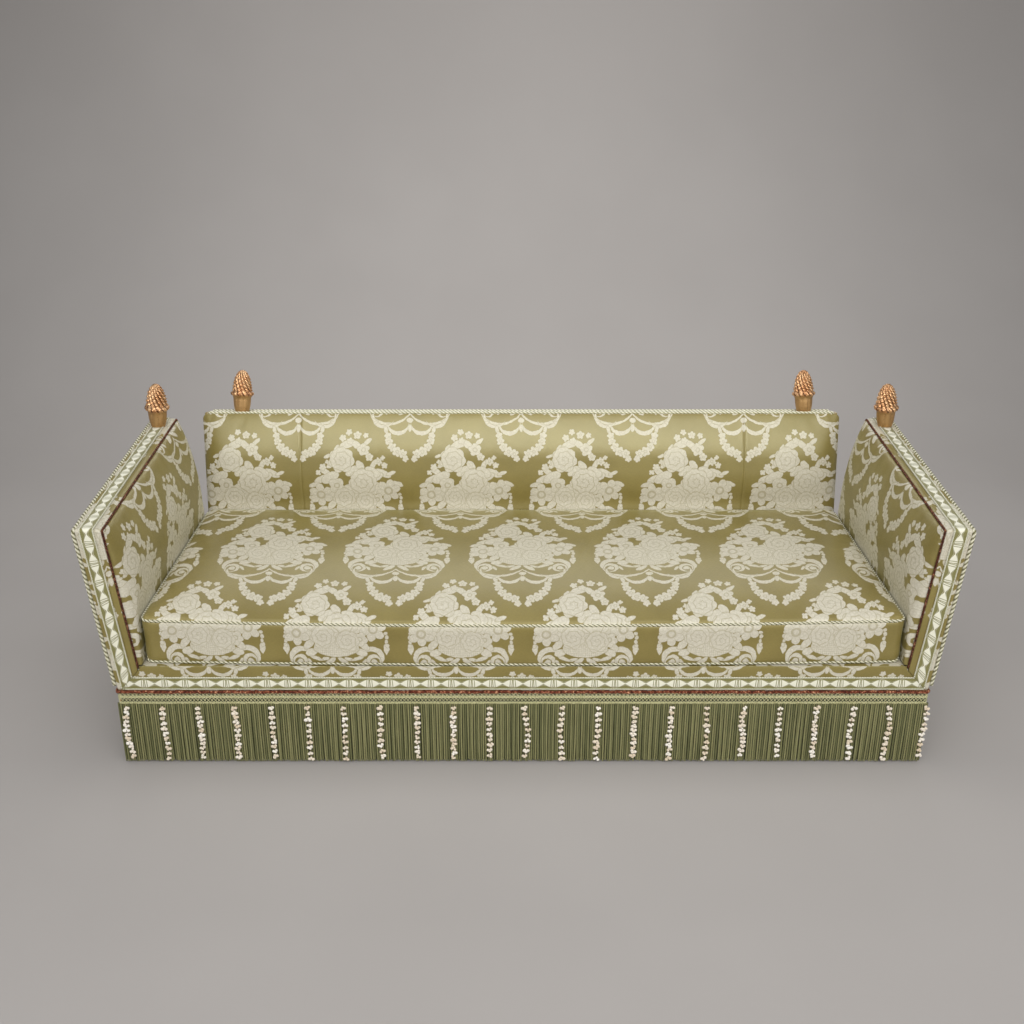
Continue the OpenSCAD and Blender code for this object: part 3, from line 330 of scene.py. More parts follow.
class Shade:
    """Writes the nodes of one material; each method returns the new node's output"""

    def __init__(self, name):
        self.material = bpy.data.materials.new(name)
        self.material.use_nodes = True
        self.tree = self.material.node_tree
        self.tree.nodes.clear()

    def __getattr__(self, name):
        """Math nodes by the short names in MATH, such as s.mul(a, b)"""
        return lambda *values: self.node("Math", values, operation=MATH[name])

    def plug(self, socket, value):
        if isinstance(value, bpy.types.NodeSocket):
            self.tree.links.new(value, socket)
        else:
            socket.default_value = value

    def node(self, kind, inputs=(), out=0, **settings):
        """New node with its inputs plugged, by number or by name; without out it gives all outputs"""
        node = self.tree.nodes.new("ShaderNode" + kind)
        for key, value in settings.items():
            setattr(node, key, value)
        for key, value in inputs.items() if isinstance(inputs, dict) else enumerate(inputs):
            self.plug(node.inputs[key], value)
        return node.outputs if out is None else node.outputs[out]

    def vector(self, op, a, b):
        return self.node("VectorMath", (a, b), operation=op)

    def stretch(self, vector, scale):
        return self.vector("MULTIPLY", vector, scale)

    def uv(self):
        return self.node("UVMap", uv_map="Fabric")

    def object_place(self):
        return self.node("TexCoord", out="Object")

    def split(self, vector):
        return self.node("SeparateXYZ", [vector], None)

    def noise(self, vector, scale, detail=2.0, rough=0.5, out=0):
        return self.node("TexNoise", {"Vector": vector, "Scale": scale, "Detail": detail, "Roughness": rough}, out)

    def cell_edges(self, vector, scale):
        return self.node("TexVoronoi", {"Vector": vector, "Scale": scale}, feature="DISTANCE_TO_EDGE")

    def ramp(self, value, low, high, out_low=0.0, out_high=1.0, kind="SMOOTHSTEP"):
        return self.node("MapRange", (value, low, high, out_low, out_high), interpolation_type=kind)

    def mix(self, share, a, b):
        return self.node("Mix", {"Factor": share, 6: a, 7: b}, 2, data_type="RGBA")

    def bump(self, height, strength, distance):
        return self.node("Bump", {"Strength": strength, "Distance": distance, "Height": height})

    def finish(self, base, roughness, normal, **fixed):
        inputs = {"Base Color": base, "Roughness": roughness, "Normal": normal}
        inputs.update({key.replace("_", " "): value for key, value in fixed.items()})
        self.node("OutputMaterial", [self.node("BsdfPrincipled", inputs)], None)
        return self.material


def rgb(r, g, b):
    """Colour written in screen values of 0 to 255, as linear light"""
    def linear(c):
        c /= 255
        return c / 12.92 if c <= 0.04045 else ((c + 0.055) / 1.055) ** 2.4
    return (linear(r), linear(g), linear(b), 1.0)


# Damask figure. One unit is the repeat's width; the basket's foot is at the origin, and
# each shape is laid over those before it with a thin line of ground round it.
LINE = 0.007
ROW_RISE = 1.0
CELL_MID = 0.2

# Centre, half length, half width and turn in degrees; drawn on both sides of the middle
TWIN_LEAVES = [
    (0.435, 0.00, 0.055, 0.026, 70), (0.405, 0.055, 0.05, 0.024, 100), (0.44, -0.045, 0.045, 0.022, 35),
    (0.395, -0.085, 0.055, 0.022, 50), (0.345, -0.125, 0.05, 0.016, 25), (0.40, 0.20, 0.016, 0.014, 0),
    (0.408, 0.165, 0.015, 0.02, 0), (0.404, 0.125, 0.013, 0.018, 0), (0.41, 0.09, 0.014, 0.016, 0),
    (0.055, -0.05, 0.055, 0.021, -38), (0.10, -0.03, 0.04, 0.014, -15), (0.335, -0.165, 0.045, 0.012, -28),
    (0.17, -0.02, 0.05, 0.016, 20), (0.22, -0.055, 0.03, 0.012, 60), (0.215, -0.215, 0.03, 0.016, 75),
]
TWIN_CRESCENTS = [
    (0.285, -0.015, 0.098, 0.270, -0.045, 0.085), (0.295, -0.045, 0.058, 0.305, -0.055, 0.040),
    (0.19, 0.06, 0.235, 0.185, 0.085, 0.237), (0.105, -0.165, 0.098, 0.105, -0.128, 0.100),
    (0.24, -0.10, 0.10, 0.225, -0.075, 0.10),
]
TWIN_FLOWERS = [
    (0.298, -0.052, 0.026, 3, 0.1), (0.197, -0.265, 0.033, 5, 0.3), (0.187, -0.315, 0.036, 5, 0.3),
    (0.158, -0.365, 0.040, 5, 0.3), (0.115, -0.405, 0.045, 5, 0.3), (0.062, -0.425, 0.040, 5, 0.35),
    (0.040, -0.470, 0.030, 5, 0.3),
]
SINGLE_LEAVES = [
    (0, -0.13, 0.028, 0.022, 0), (0, -0.20, 0.017, 0.032, 0), (-0.30, 0.345, 0.07, 0.03, 25),
    (-0.26, 0.41, 0.055, 0.026, -35), (0.255, 0.40, 0.075, 0.03, -25), (0.20, 0.36, 0.06, 0.03, 30),
    (-0.21, 0.48, 0.05, 0.022, 40), (0.165, 0.47, 0.06, 0.022, 65), (-0.37, 0.29, 0.05, 0.022, 15),
    (0.385, 0.30, 0.05, 0.022, -20), (-0.02, 0.42, 0.07, 0.035, 35), (0.05, 0.47, 0.05, 0.03, -50),
    (-0.16, 0.62, 0.04, 0.018, 60), (0.12, 0.68, 0.045, 0.018, 40), (-0.20, 0.03, 0.05, 0.03, 20),
    (-0.22, 0.36, 0.085, 0.045, 30), (0.17, 0.26, 0.075, 0.06, 10), (-0.02, 0.22, 0.11, 0.085, 0),
    (0.16, 0.41, 0.07, 0.04, -30), (-0.20, 0.20, 0.07, 0.06, 0), (-0.06, 0.66, 0.075, 0.034, 20),
    (0.02, 0.655, 0.05, 0.028, -40), (-0.24, 0.555, 0.035, 0.014, 20), (0.33, 0.40, 0.04, 0.016, 20),
    (0.20, 0.03, 0.05, 0.03, -20), (-0.22, 0.10, 0.05, 0.03, 45), (0.22, 0.09, 0.05, 0.028, -40),
]
SINGLE_FLOWERS = [
    (-0.10, 0.715, 0.032, 5, 0.35), (-0.045, 0.765, 0.028, 5, 0.35), (0.03, 0.74, 0.036, 5, 0.35),
    (-0.035, 0.69, 0.030, 5, 0.35), (0.105, 0.735, 0.026, 5, 0.35), (0.085, 0.61, 0.058, 5, 0.30),
    (0.135, 0.545, 0.036, 5, 0.3), (-0.285, 0.455, 0.034, 5, 0.4), (-0.325, 0.405, 0.026, 4, 0.4),
    (-0.24, 0.50, 0.024, 4, 0.4), (0.215, 0.505, 0.040, 6, 0.4), (0.27, 0.47, 0.030, 5, 0.4),
    (0.255, 0.54, 0.022, 4, 0.4), (-0.315, 0.195, 0.108, 6, 0.34), (0.30, 0.235, 0.108, 6, 0.34),
    (-0.165, 0.285, 0.075, 4, 0.25), (0.19, 0.145, 0.065, 5, 0.25),
]
ROSES = [(-0.115, 0.52, 0.118, 7), (0.07, 0.315, 0.128, 8), (-0.105, 0.165, 0.10, 7), (0.09, 0.13, 0.095, 7)]


def lay(s, fields, body, drawn=None):
    """Sets a shape over the figure. The first field is the whole mass, the second has its drawn lines"""
    drawn = body if drawn is None else drawn
    if fields is None:
        return body, drawn
    mass, lined = fields
    kept = s.high(lined, s.sub(LINE, body))
    return s.low(mass, body), s.low(kept, drawn)


def placed(s, at, u, v, a, b, degrees=0.0):
    """Coordinates of a shape set at a place, turned and scaled"""
    c, k = math.cos(math.radians(degrees)), math.sin(math.radians(degrees))
    x, y = at
    if not degrees:
        return s.mad(x, 1 / a, -u / a), s.mad(y, 1 / b, -v / b)
    x2 = s.mad(x, c / a, s.mad(y, k / a, -(u * c + v * k) / a))
    y2 = s.mad(y, c / b, s.mad(x, -k / b, (u * k - v * c) / b))
    return x2, y2


def squared(s, x, y):
    return s.mad(x, x, s.mul(y, y))


def leaf(s, at, u, v, a, b, degrees):
    half = min(a, b) / 2
    return s.mad(squared(s, *placed(s, at, u, v, a, b, degrees)), half, -half)


def crescent(s, at, u, v, r, u2, v2, r2):
    outer = s.mad(squared(s, *placed(s, at, u, v, r, r)), r / 2, -r / 2)
    inner = s.mad(squared(s, *placed(s, at, u2, v2, r2, r2)), -r2 / 2, r2 / 2)
    return s.high(outer, inner)


def flower(s, at, u, v, r, petals, depth, whorls=0):
    """Petalled head: an eye in the middle, or for a rose whorls that wind in"""
    x, y = placed(s, at, u, v, r, r)
    q = s.root(squared(s, x, y))
    turn = s.angle(y, x)
    lobes = s.size(s.sine(s.mad(turn, petals / 2, u * 31 + v * 17)))
    edge = s.mad(lobes, depth, 1 - depth)
    shape = s.mul(s.sub(q, edge), r)
    if whorls:
        wound = s.mad(turn, 1 / (2 * math.pi), s.mul(q, whorls))
        wound = s.mad(lobes, 0.25, wound)
        off = s.size(s.sub(s.part(wound), 0.5))
        line = s.mad(off, r / whorls, -0.39 * r / whorls)
        return shape, s.high(shape, line)
    body = shape
    if r > 0.034:
        eye = s.size(s.sub(q, 0.3))
        shape = s.high(shape, s.mad(eye, -r, 0.09 * r))
    if r > 0.09:
        crease = s.mad(lobes, -0.24 * r, 0.035 * r)
        outside = s.mad(q, -r, 0.45 * r)
        shape = s.high(shape, s.sub(crease, s.high(outside, 0.0)))
    return body, shape


def basket(s, at):
    """Woven basket: a dome on its back, with its canes"""
    x, y = placed(s, at, 0, 0.075, 0.18, 0.085)
    body = s.mad(squared(s, x, y), 0.0425, -0.0425)
    canes = s.mul(s.sine(s.mul(x, 34)), s.sine(s.mul(y, 16)))
    return body, s.high(body, s.mad(s.size(canes), -0.02, 0.0035))


def figure_field(s, uv):
    """Distance fields of the half-drop figure: below zero where the satin figure is"""
    u, v, _ = s.split(uv)
    tall = 2 * ROW_RISE

    def lattice(du, dv):
        a = s.add(u, du) if du else u
        a = s.sub(a, s.whole(a))
        b = s.add(v, dv - CELL_MID)
        b = s.sub(b, s.mul(s.whole(s.mul(b, 1 / tall)), tall))
        return a, b, s.mad(s.size(a), 2.0, s.mul(s.size(b), 1 / ROW_RISE))

    a0, b0, near0 = lattice(0.0, 0.0)
    a1, b1, near1 = lattice(0.5, ROW_RISE)
    second = s.less(near1, near0)
    first = s.sub(1.0, second)
    x = s.add(s.mul(a0, first), s.mul(a1, second))
    y = s.add(s.add(s.mul(b0, first), s.mul(b1, second)), CELL_MID)
    single, twin = (x, y), (s.size(x), y)
    field = None
    for c in TWIN_CRESCENTS:
        field = lay(s, field, crescent(s, twin, *c))
    for e in TWIN_LEAVES:
        field = lay(s, field, leaf(s, twin, *e))
    for f in TWIN_FLOWERS:
        field = lay(s, field, *flower(s, twin, *f))
    for e in SINGLE_LEAVES:
        field = lay(s, field, leaf(s, single, *e))
    field = lay(s, field, *basket(s, single))
    for f in SINGLE_FLOWERS:
        field = lay(s, field, *flower(s, single, *f))
    for u0, v0, r, petals in ROSES:
        field = lay(s, field, *flower(s, single, u0, v0, r, petals, 0.14, whorls=2.6))
    return field


def damask_material(name, ground, figure, shadow):
    s = Shade(name)
    uv = s.uv()
    # Fine tooth of the weave, and broad fading along the cloth
    warp = s.noise(s.stretch(uv, (420, 60, 1)), 1.0, 2, 0.6)
    weft = s.noise(s.stretch(uv, (40, 300, 1)), 1.0, 2, 0.6)
    tooth = s.mul(s.add(warp, weft), 0.5)
    base = s.mix(s.ramp(s.noise(uv, 2.3, 3, 0.55), 0.3, 0.7), ground, shadow)
    # The figure's outline wavers a little; inside it lie drawn lines, veins and mottled satin
    wobble = s.noise(uv, 26, 2, 0.6, "Color")
    shift = s.stretch(s.vector("SUBTRACT", wobble, (0.5, 0.5, 0.5)), (0.018, 0.018, 0))
    mass, lined = figure_field(s, s.vector("ADD", uv, shift))
    inside, drawn = s.ramp(mass, 0.0026, -0.0016), s.ramp(lined, 0.0035, -0.0015)
    veins = s.cell_edges(s.vector("ADD", uv, s.stretch(shift, (2, 2, 0))), 34)
    vein = s.mul(s.ramp(veins, 0.05, 0.12, 1.0, 0.0), 0.42)
    mottle = s.mul(s.ramp(s.noise(uv, 60, 2, 0.7), 0.35, 0.65), 0.30)
    inner = s.mix(0.52, ground, figure)
    base = s.mix(inside, base, s.mix(drawn, inner, s.mix(s.high(vein, mottle), figure, inner)))
    base = s.mix(s.ramp(tooth, 0.38, 0.62, 0.0, 0.16), base, (0.02, 0.018, 0.006, 1))
    roughness = s.mad(inside, 0.16, s.ramp(tooth, 0.3, 0.7, 0.30, 0.44))
    return s.finish(base, roughness, s.bump(tooth, 0.3, 0.0004), Sheen_Weight=0.22, Sheen_Roughness=0.35,
                    Sheen_Tint=rgb(228, 230, 170), Specular_IOR_Level=1.0, Specular_Tint=rgb(244, 241, 208))


def rope_material(name, pale, dark):
    """Twisted silk: broad pale strands and narrow dark ones, with their own fine threads"""
    s = Shade(name)
    uv = s.uv()
    u, _, _ = s.split(uv)
    turn = s.part(s.mad(u, 2.0, 0.25))
    odd = s.ramp(s.size(s.sub(turn, 0.75)), 0.14, 0.20, 1.0, 0.0)
    # Near black along the lines where the strands meet: painted shade in the grooves of the twist
    off = s.size(s.sub(s.part(s.mul(u, 4.0)), 0.5))
    groove = s.ramp(off, 0.02, 0.20, 1.0, 0.0)
    thread = s.noise(s.stretch(uv, (40, 9, 1)), 1.0, 2, 0.6)
    base = s.mix(odd, pale, dark)
    base = s.mix(s.mul(groove, 0.55), base, (0.06, 0.055, 0.022, 1))
    base = s.mix(s.ramp(thread, 0.4, 0.75, 0.0, 0.22), base, dark)
    return s.finish(base, s.ramp(thread, 0.3, 0.7, 0.45, 0.62), s.bump(thread, 0.5, 0.0006),
                    Sheen_Weight=0.2, Specular_IOR_Level=0.4)


def chenille_material(name, deep, mid, painted_highlight):
    s = Shade(name)
    place = s.object_place()
    fleck = s.noise(place, 130, 3, 0.8)
    fine = s.noise(place, 520, 2, 0.6)
    base = s.mix(s.ramp(fleck, 0.42, 0.54), deep, mid)
    # Flecks of a pale colour: painted highlights on the pile
    base = s.mix(s.ramp(fleck, 0.56, 0.62), base, painted_highlight)
    # Near black where the fine noise is low, as in the bump: painted shade between the fibres of the pile
    base = s.mix(s.ramp(fine, 0.35, 0.55, 0.55, 0.0), base, rgb(40, 16, 10))
    return s.finish(base, 0.9, s.bump(fine, 0.8, 0.0015), Sheen_Weight=0.25, Sheen_Roughness=0.5,
                    Sheen_Tint=rgb(220, 170, 140), Specular_IOR_Level=0.2)


def crochet_material():
    s = Shade("heading_crochet")
    place = s.object_place()
    twist = s.noise(place, 420, 2, 0.6)
    base = s.mix(s.ramp(twist, 0.35, 0.65), rgb(160, 156, 108), rgb(212, 207, 162))
    return s.finish(base, 0.75, s.bump(twist, 0.7, 0.0008), Sheen_Weight=0.3, Specular_IOR_Level=0.25)


def bullion_material(name, pale, dark):
    """Twisted cord of the fringe: a fine slant twist along each strand"""
    s = Shade(name)
    uv = s.uv()
    u, v, _ = s.split(uv)
    slant = s.part(s.add(s.mul(v, 5.0), u))
    ply = s.size(s.sub(slant, 0.5))
    cord = s.part(s.mul(s.floor(u), 0.6180339))
    broad = s.noise(s.object_place(), 9, 2, 0.5)
    each = s.mad(cord, 0.6, s.mul(broad, 0.4))
    base = s.mix(s.ramp(each, 0.15, 0.75), dark, pale)
    # Darker in the grooves between the plies of the twist: painted shade
    base = s.mix(s.ramp(ply, 0.05, 0.3, 0.6, 0.0), base, rgb(72, 74, 42))
    return s.finish(base, 0.55, s.bump(ply, 0.8, 0.001), Sheen_Weight=0.35, Sheen_Roughness=0.35,
                    Sheen_Tint=rgb(190, 200, 150), Specular_IOR_Level=0.35)


def floret_material():
    s = Shade("floret_silk")
    place = s.object_place()
    fuzz = s.noise(place, 520, 3, 0.7)
    tone, _, _ = s.split(s.uv())
    base = s.mix(tone, rgb(218, 200, 172), rgb(244, 238, 226))
    # Darker where the fine fuzz is low, as in the bump: painted shade between the fibres
    base = s.mix(s.ramp(fuzz, 0.3, 0.5, 0.5, 0.0), base, rgb(150, 128, 104))
    return s.finish(base, 0.8, s.bump(fuzz, 0.7, 0.0012), Sheen_Weight=0.4, Specular_IOR_Level=0.25)


def thread_material():
    s = Shade("floret_thread")
    fuzz = s.noise(s.object_place(), 600, 2, 0.6)
    base = s.mix(s.ramp(fuzz, 0.35, 0.65), rgb(84, 58, 36), rgb(128, 98, 62))
    return s.finish(base, 0.8, s.bump(fuzz, 0.6, 0.0006), Sheen_Weight=0.2)


def braid_shape(u, share):
    """Where the braid's motif stands proud: a barred block with a long point at each side"""
    x, rise = np.abs(u % 1 - 0.5), np.abs(share - 0.5)
    return (rise < np.interp(x, [0, 0.2, 0.48], [0.24, 0.27, 0.03])).astype(float)


def braid_material():
    """Figured braid: barred blocks with long white points, on an olive ground between beaded edges"""
    s = Shade("figured_braid")
    u, v, _ = s.split(s.uv())
    rise, x = s.size(s.sub(v, 0.5)), s.size(s.sub(s.part(u), 0.5))
    point = s.ramp(x, 0.2, 0.48, 0.27, 0.03, "LINEAR")
    figure = s.ramp(s.sub(rise, point), -0.012, 0.022, 1.0, 0.0)
    wave = s.sine(s.add(s.mul(s.mad(v, 0.04, x), math.pi / 0.1), math.pi / 2))
    bars, barred = s.ramp(s.size(wave), 0.45, 0.75), s.ramp(x, 0.19, 0.21, 1.0, 0.0)
    inner = s.sub(1.0, s.mul(barred, s.sub(1.0, bars)))
    figure = s.mul(figure, s.mad(inner, 0.85, 0.15))
    vein = s.ramp(s.size(s.sub(rise, s.mad(x, -0.5, 0.36))), 0.008, 0.02, 0.6, 0.0)
    bead = s.mul(s.ramp(s.size(s.sine(s.mul(u, math.pi * 8))), 0.3, 0.6), s.ramp(rise, 0.405, 0.42))
    pale = s.high(s.high(figure, bead), vein)
    thread = s.noise(s.stretch(s.uv(), (60, 40, 1)), 1.0, 2, 0.65)
    ground = s.mix(s.ramp(thread, 0.35, 0.65), rgb(106, 102, 54), rgb(138, 133, 84))
    base = s.mix(pale, ground, rgb(226, 223, 203))
    base = s.mix(s.ramp(thread, 0.55, 0.8, 0.0, 0.25), base, rgb(120, 118, 68))
    height = s.add(s.mul(pale, 0.7), s.mul(thread, 0.5))
    return s.finish(base, 0.6, s.bump(height, 0.6, 0.001), Sheen_Weight=0.25, Specular_IOR_Level=0.35)


def lace_material():
    """Lacy band between the two cords of the back"""
    s = Shade("top_lace")
    uv = s.uv()
    u, v, _ = s.split(uv)
    holes = s.ramp(s.cell_edges(s.stretch(uv, (9, 4, 1)), 1.6), 0.06, 0.16)
    wave = s.size(s.sine(s.mul(u, math.pi * 1.5)))
    figure = s.ramp(s.sub(s.size(s.sub(v, 0.5)), s.mul(wave, 0.38)), -0.02, 0.04, 1.0, 0.0)
    pale = s.high(s.sub(1.0, holes), s.mul(figure, 0.75))
    thread = s.noise(s.stretch(uv, (60, 30, 1)), 1.0, 2, 0.6)
    base = s.mix(pale, rgb(140, 138, 88), rgb(220, 216, 192))
    base = s.mix(s.ramp(thread, 0.5, 0.8, 0.0, 0.3), base, rgb(120, 116, 70))
    return s.finish(base, 0.65, s.bump(s.add(pale, thread), 0.5, 0.0008), Sheen_Weight=0.3)


RIDGES, RIDGE_TWIST, BEAD_ROWS = 13, 30.0, 12.5


def gilt_material():
    """Gilding: bright on the carved ridges, dark brown along the grooves, duller on the cup"""
    s = Shade("carved_gilt")
    place = s.object_place()
    u, v, _ = s.split(s.uv())
    patch = s.noise(place, 34, 4, 0.65)
    fine = s.noise(place, 260, 3, 0.6)
    nut = s.ramp(v, 0.38, 0.42)
    winding = s.mad(u, 2 * math.pi * RIDGES, s.mul(v, RIDGE_TWIST))
    groove = s.ramp(s.cosine(winding), -0.95, -0.1, 0.85, 0.0)
    base = s.mix(s.ramp(patch, 0.35, 0.7), rgb(206, 152, 104), rgb(236, 194, 146))
    base = s.mix(s.mul(groove, nut), base, rgb(92, 50, 22))
    base = s.mix(s.mul(s.sub(1.0, nut), 0.8), base, rgb(176, 140, 88))
    base = s.mix(s.ramp(fine, 0.60, 0.72, 0.0, 0.7), base, rgb(96, 58, 26))
    roughness = s.mad(nut, -0.16, s.ramp(patch, 0.3, 0.7, 0.40, 0.56))
    return s.finish(base, roughness, s.bump(fine, 0.25, 0.0008), Metallic=0.72, Specular_IOR_Level=0.5,
                    Coat_Weight=0.12, Coat_Roughness=0.25)


def wood_material(name, pale, dark, scale=(3, 26, 26)):
    s = Shade(name)
    place = s.object_place()
    grain = s.noise(s.stretch(place, scale), 2.2, 5, 0.65)
    pores = s.noise(s.stretch(place, (scale[0] * 6, scale[1] * 9, scale[2] * 9)), 1.0, 2, 0.5)
    base = s.mix(s.ramp(grain, 0.3, 0.7), dark, pale)
    base = s.mix(s.ramp(pores, 0.6, 0.75, 0.0, 0.5), base, dark)
    return s.finish(base, s.ramp(grain, 0.3, 0.7, 0.45, 0.65), s.bump(pores, 0.3, 0.0006), Specular_IOR_Level=0.4)


def cloth_material(name, pale, dark, pitch):
    """Plain woven cloth with its threads over and under"""
    s = Shade(name)
    place = s.object_place()
    x, y, _ = s.split(place)
    over = s.mul(s.sine(s.mul(x, math.pi / pitch)), s.sine(s.mul(y, math.pi / pitch)))
    slub = s.noise(place, 90, 3, 0.6)
    base = s.mix(s.ramp(s.add(over, s.mul(slub, 0.8)), -0.4, 1.0), dark, pale)
    return s.finish(base, 0.85, s.bump(over, 0.5, 0.0005), Sheen_Weight=0.15)


def metal_material(name, pale, dark, roughness):
    s = Shade(name)
    place = s.object_place()
    brushed = s.noise(s.stretch(place, (8, 120, 120)), 6.0, 3, 0.6)
    spots = s.noise(place, 60, 3, 0.6)
    base = s.mix(s.ramp(spots, 0.4, 0.75), pale, dark)
    return s.finish(base, s.ramp(brushed, 0.3, 0.7, roughness - 0.08, roughness + 0.1),
                    s.bump(brushed, 0.12, 0.0003), Metallic=1.0)


OLIVE, OLIVE_SHADE, CREAM = rgb(134, 120, 66), rgb(124, 110, 58), rgb(208, 202, 186)
damask = damask_material("silk_damask", OLIVE, CREAM, OLIVE_SHADE)
rope = rope_material("two_tone_rope", rgb(222, 217, 192), rgb(98, 95, 50))
pale_rope = rope_material("pale_rope", rgb(232, 228, 206), rgb(158, 154, 108))
# The third colour of each chenille is a painted highlight on its pile
chenille = chenille_material("rust_chenille", rgb(66, 26, 17), rgb(130, 66, 44), rgb(214, 160, 122))
dark_chenille = chenille_material("brown_chenille", rgb(48, 24, 16), rgb(84, 44, 30), rgb(150, 104, 76))
crochet = crochet_material()
bullion = bullion_material("bullion_cord", rgb(158, 154, 106), rgb(108, 108, 68))
# Dark copy of the bullion cord: painted shade, for the cords hidden behind those in front and for the sheet behind
# the heading's lozenges
bullion_shade = bullion_material("bullion_painted_shade", rgb(52, 54, 30), rgb(36, 40, 20))
floret = floret_material()
thread = thread_material()
braid = braid_material()
lace = lace_material()
gilt = gilt_material()
beech = wood_material("frame_beech", rgb(196, 160, 112), rgb(142, 104, 64))
walnut = wood_material("foot_walnut", rgb(112, 70, 42), rgb(62, 36, 22), (26, 26, 3))
jute = cloth_material("jute_web", rgb(186, 158, 112), rgb(120, 96, 60), 0.004)
hessian = cloth_material("hessian_cloth", rgb(176, 150, 108), rgb(122, 98, 64), 0.0025)
lining = cloth_material("black_cambric", rgb(44, 43, 42), rgb(22, 22, 22), 0.0015)
steel = metal_material("bright_steel", rgb(168, 170, 172), rgb(110, 108, 104), 0.34)
brass = metal_material("old_brass", rgb(206, 172, 98), rgb(140, 108, 56), 0.32)


# ---------------------------------------------------------------- places on the sofa

def seat_uv(points):
    """Damask's map on the seat: the repeats run a little wider towards the back"""
    depth = points[..., 1] - ARM_Y0
    return zipped(points[..., 0] / (354 + 0.065 * depth), (depth - 325) / 470)


def outer_x(z):
    return FOOT_X + (z - FOOT_Z) * math.tan(SPLAY)


def top_z(y):
    return ARM_FRONT_Z + (y - ARM_Y0) * (ARM_REAR_Z - ARM_FRONT_Z) / (ARM_Y1 - ARM_Y0)


def back_plane_y(depth, z):
    return BACK_Y + depth / math.cos(RAKE) + (z - SEAT_Z) * math.tan(RAKE)


def raked(x, depth, h):
    x, depth, h = np.broadcast_arrays(np.asarray(x, float), depth, h)
    return zipped(x, BACK_Y + depth * math.cos(RAKE) + h * math.sin(RAKE),
                  SEAT_Z - depth * math.sin(RAKE) + h * math.cos(RAKE))


def spread(low, high, step, extra=()):
    """Even values between two ends, with some more where a seam needs them"""
    n = max(1, int(round((high - low) / step)))
    return np.unique(np.round(np.concatenate([np.linspace(low, high, n + 1), np.asarray(extra, float)]), 3))


def eased(low, high, step, fine, reach):
    """Values between two ends, closer together near both"""
    inner = np.linspace(low + reach, high - reach, max(2, int((high - low - 2 * reach) / step)))
    edge = np.linspace(0, 1, int(reach / fine) + 1)[:-1] ** 1.3 * reach
    return np.concatenate([low + edge, inner, (high - edge)[::-1]])


def round_corners(x, y, a, b, r):
    """Moves points of a rectangle of half sides a and b so that its corners are round"""
    px, py = np.abs(x) - (a - r), np.abs(y) - (b - r)
    corner = (px > 0) & (py > 0)
    s, t = np.clip(px / r, 0, 1), np.clip(py / r, 0, 1)
    nx, ny = s * np.sqrt(1 - t * t / 2) * r, t * np.sqrt(1 - s * s / 2) * r
    return (np.where(corner, np.sign(x) * (a - r + nx), x), np.where(corner, np.sign(y) * (b - r + ny), y))


def border_of(grid):
    """The points round a grid's edge, in order"""
    return np.concatenate([grid[0, :-1], grid[:-1, -1], grid[-1, :0:-1], grid[:0:-1, 0]])


# Cloth simulation of the padded panels: cell of the simulated net in millimetres, frames, pressure from
# inside, and how much larger the cover is cut than its filling
CLOTH_CELL, CLOTH_FRAMES, CLOTH_PRESSURE, CLOTH_EASE = 13.0, 16, 4.0, 0.01


def regrid(values, old_rows, old_cols, rows, cols):
    """A sheet of values, read at other rows and columns"""
    by_row = np.stack([[np.interp(rows, old_rows, column) for column in layer.T]
                       for layer in np.moveaxis(values, -1, 0)], -1)
    return np.stack([[np.interp(cols, old_cols, row) for row in layer.T]
                     for layer in np.moveaxis(by_row, -1, 0)], -1)


def swell(grid, outward, most):
    """How each point of a padded panel moves when its cover, held along the seams, is pressed out from
    inside. The panel is simulated as cloth on an even net, and no point moves further than most"""
    old_rows, old_cols = lengths_along(grid[:, grid.shape[1] // 2]), lengths_along(grid[grid.shape[0] // 2])
    rows = np.linspace(0, old_rows[-1], int(old_rows[-1] / CLOTH_CELL) + 1)
    cols = np.linspace(0, old_cols[-1], int(old_cols[-1] / CLOTH_CELL) + 1)
    start = regrid(grid, old_rows, old_cols, rows, cols)
    n, m = start.shape[:2]
    k = np.arange(n * m).reshape(n, m)
    quads = zipped(k[:-1, :-1], k[:-1, 1:], k[1:, 1:], k[1:, :-1]).reshape(-1, 4)
    if np.dot(np.cross(start[0, -1] - start[0, 0], start[-1, 0] - start[0, 0]), outward) < 0:
        quads = quads[:, ::-1]
    mesh = bpy.data.meshes.new("cover_net")
    mesh.from_pydata((start.reshape(-1, 3) * MM).tolist(), [], quads.tolist())
    net = bpy.data.objects.new("cover_net", mesh)
    scene = bpy.context.scene
    scene.collection.objects.link(net)
    net.vertex_groups.new(name="seam").add(border_of(k).tolist(), 1.0, "REPLACE")
    cloth = net.modifiers.new("cloth", "CLOTH")
    cloth.settings.vertex_group_mass = "seam"
    cloth.settings.use_pressure = True
    cloth.settings.uniform_pressure_force = CLOTH_PRESSURE
    cloth.settings.shrink_min = -CLOTH_EASE
    cloth.settings.effector_weights.gravity = 0.0
    cloth.point_cache.frame_start, cloth.point_cache.frame_end = 1, CLOTH_FRAMES
    for frame in range(1, CLOTH_FRAMES + 1):
        scene.frame_set(frame)
    pressed = np.empty(n * m * 3)
    net.evaluated_get(bpy.context.evaluated_depsgraph_get()).data.vertices.foreach_get("co", pressed)
    scene.frame_set(1)
    bpy.data.objects.remove(net)
    bpy.data.meshes.remove(mesh)
    move = pressed.reshape(n, m, 3) / MM - start
    move *= most / max(most, np.linalg.norm(move, axis=-1).max())
    return regrid(move, rows, cols, old_rows, old_cols)


# ---------------------------------------------------------------- loose cushion

FRONT_BOW, FRONT_SAG = 18.0, 7.0


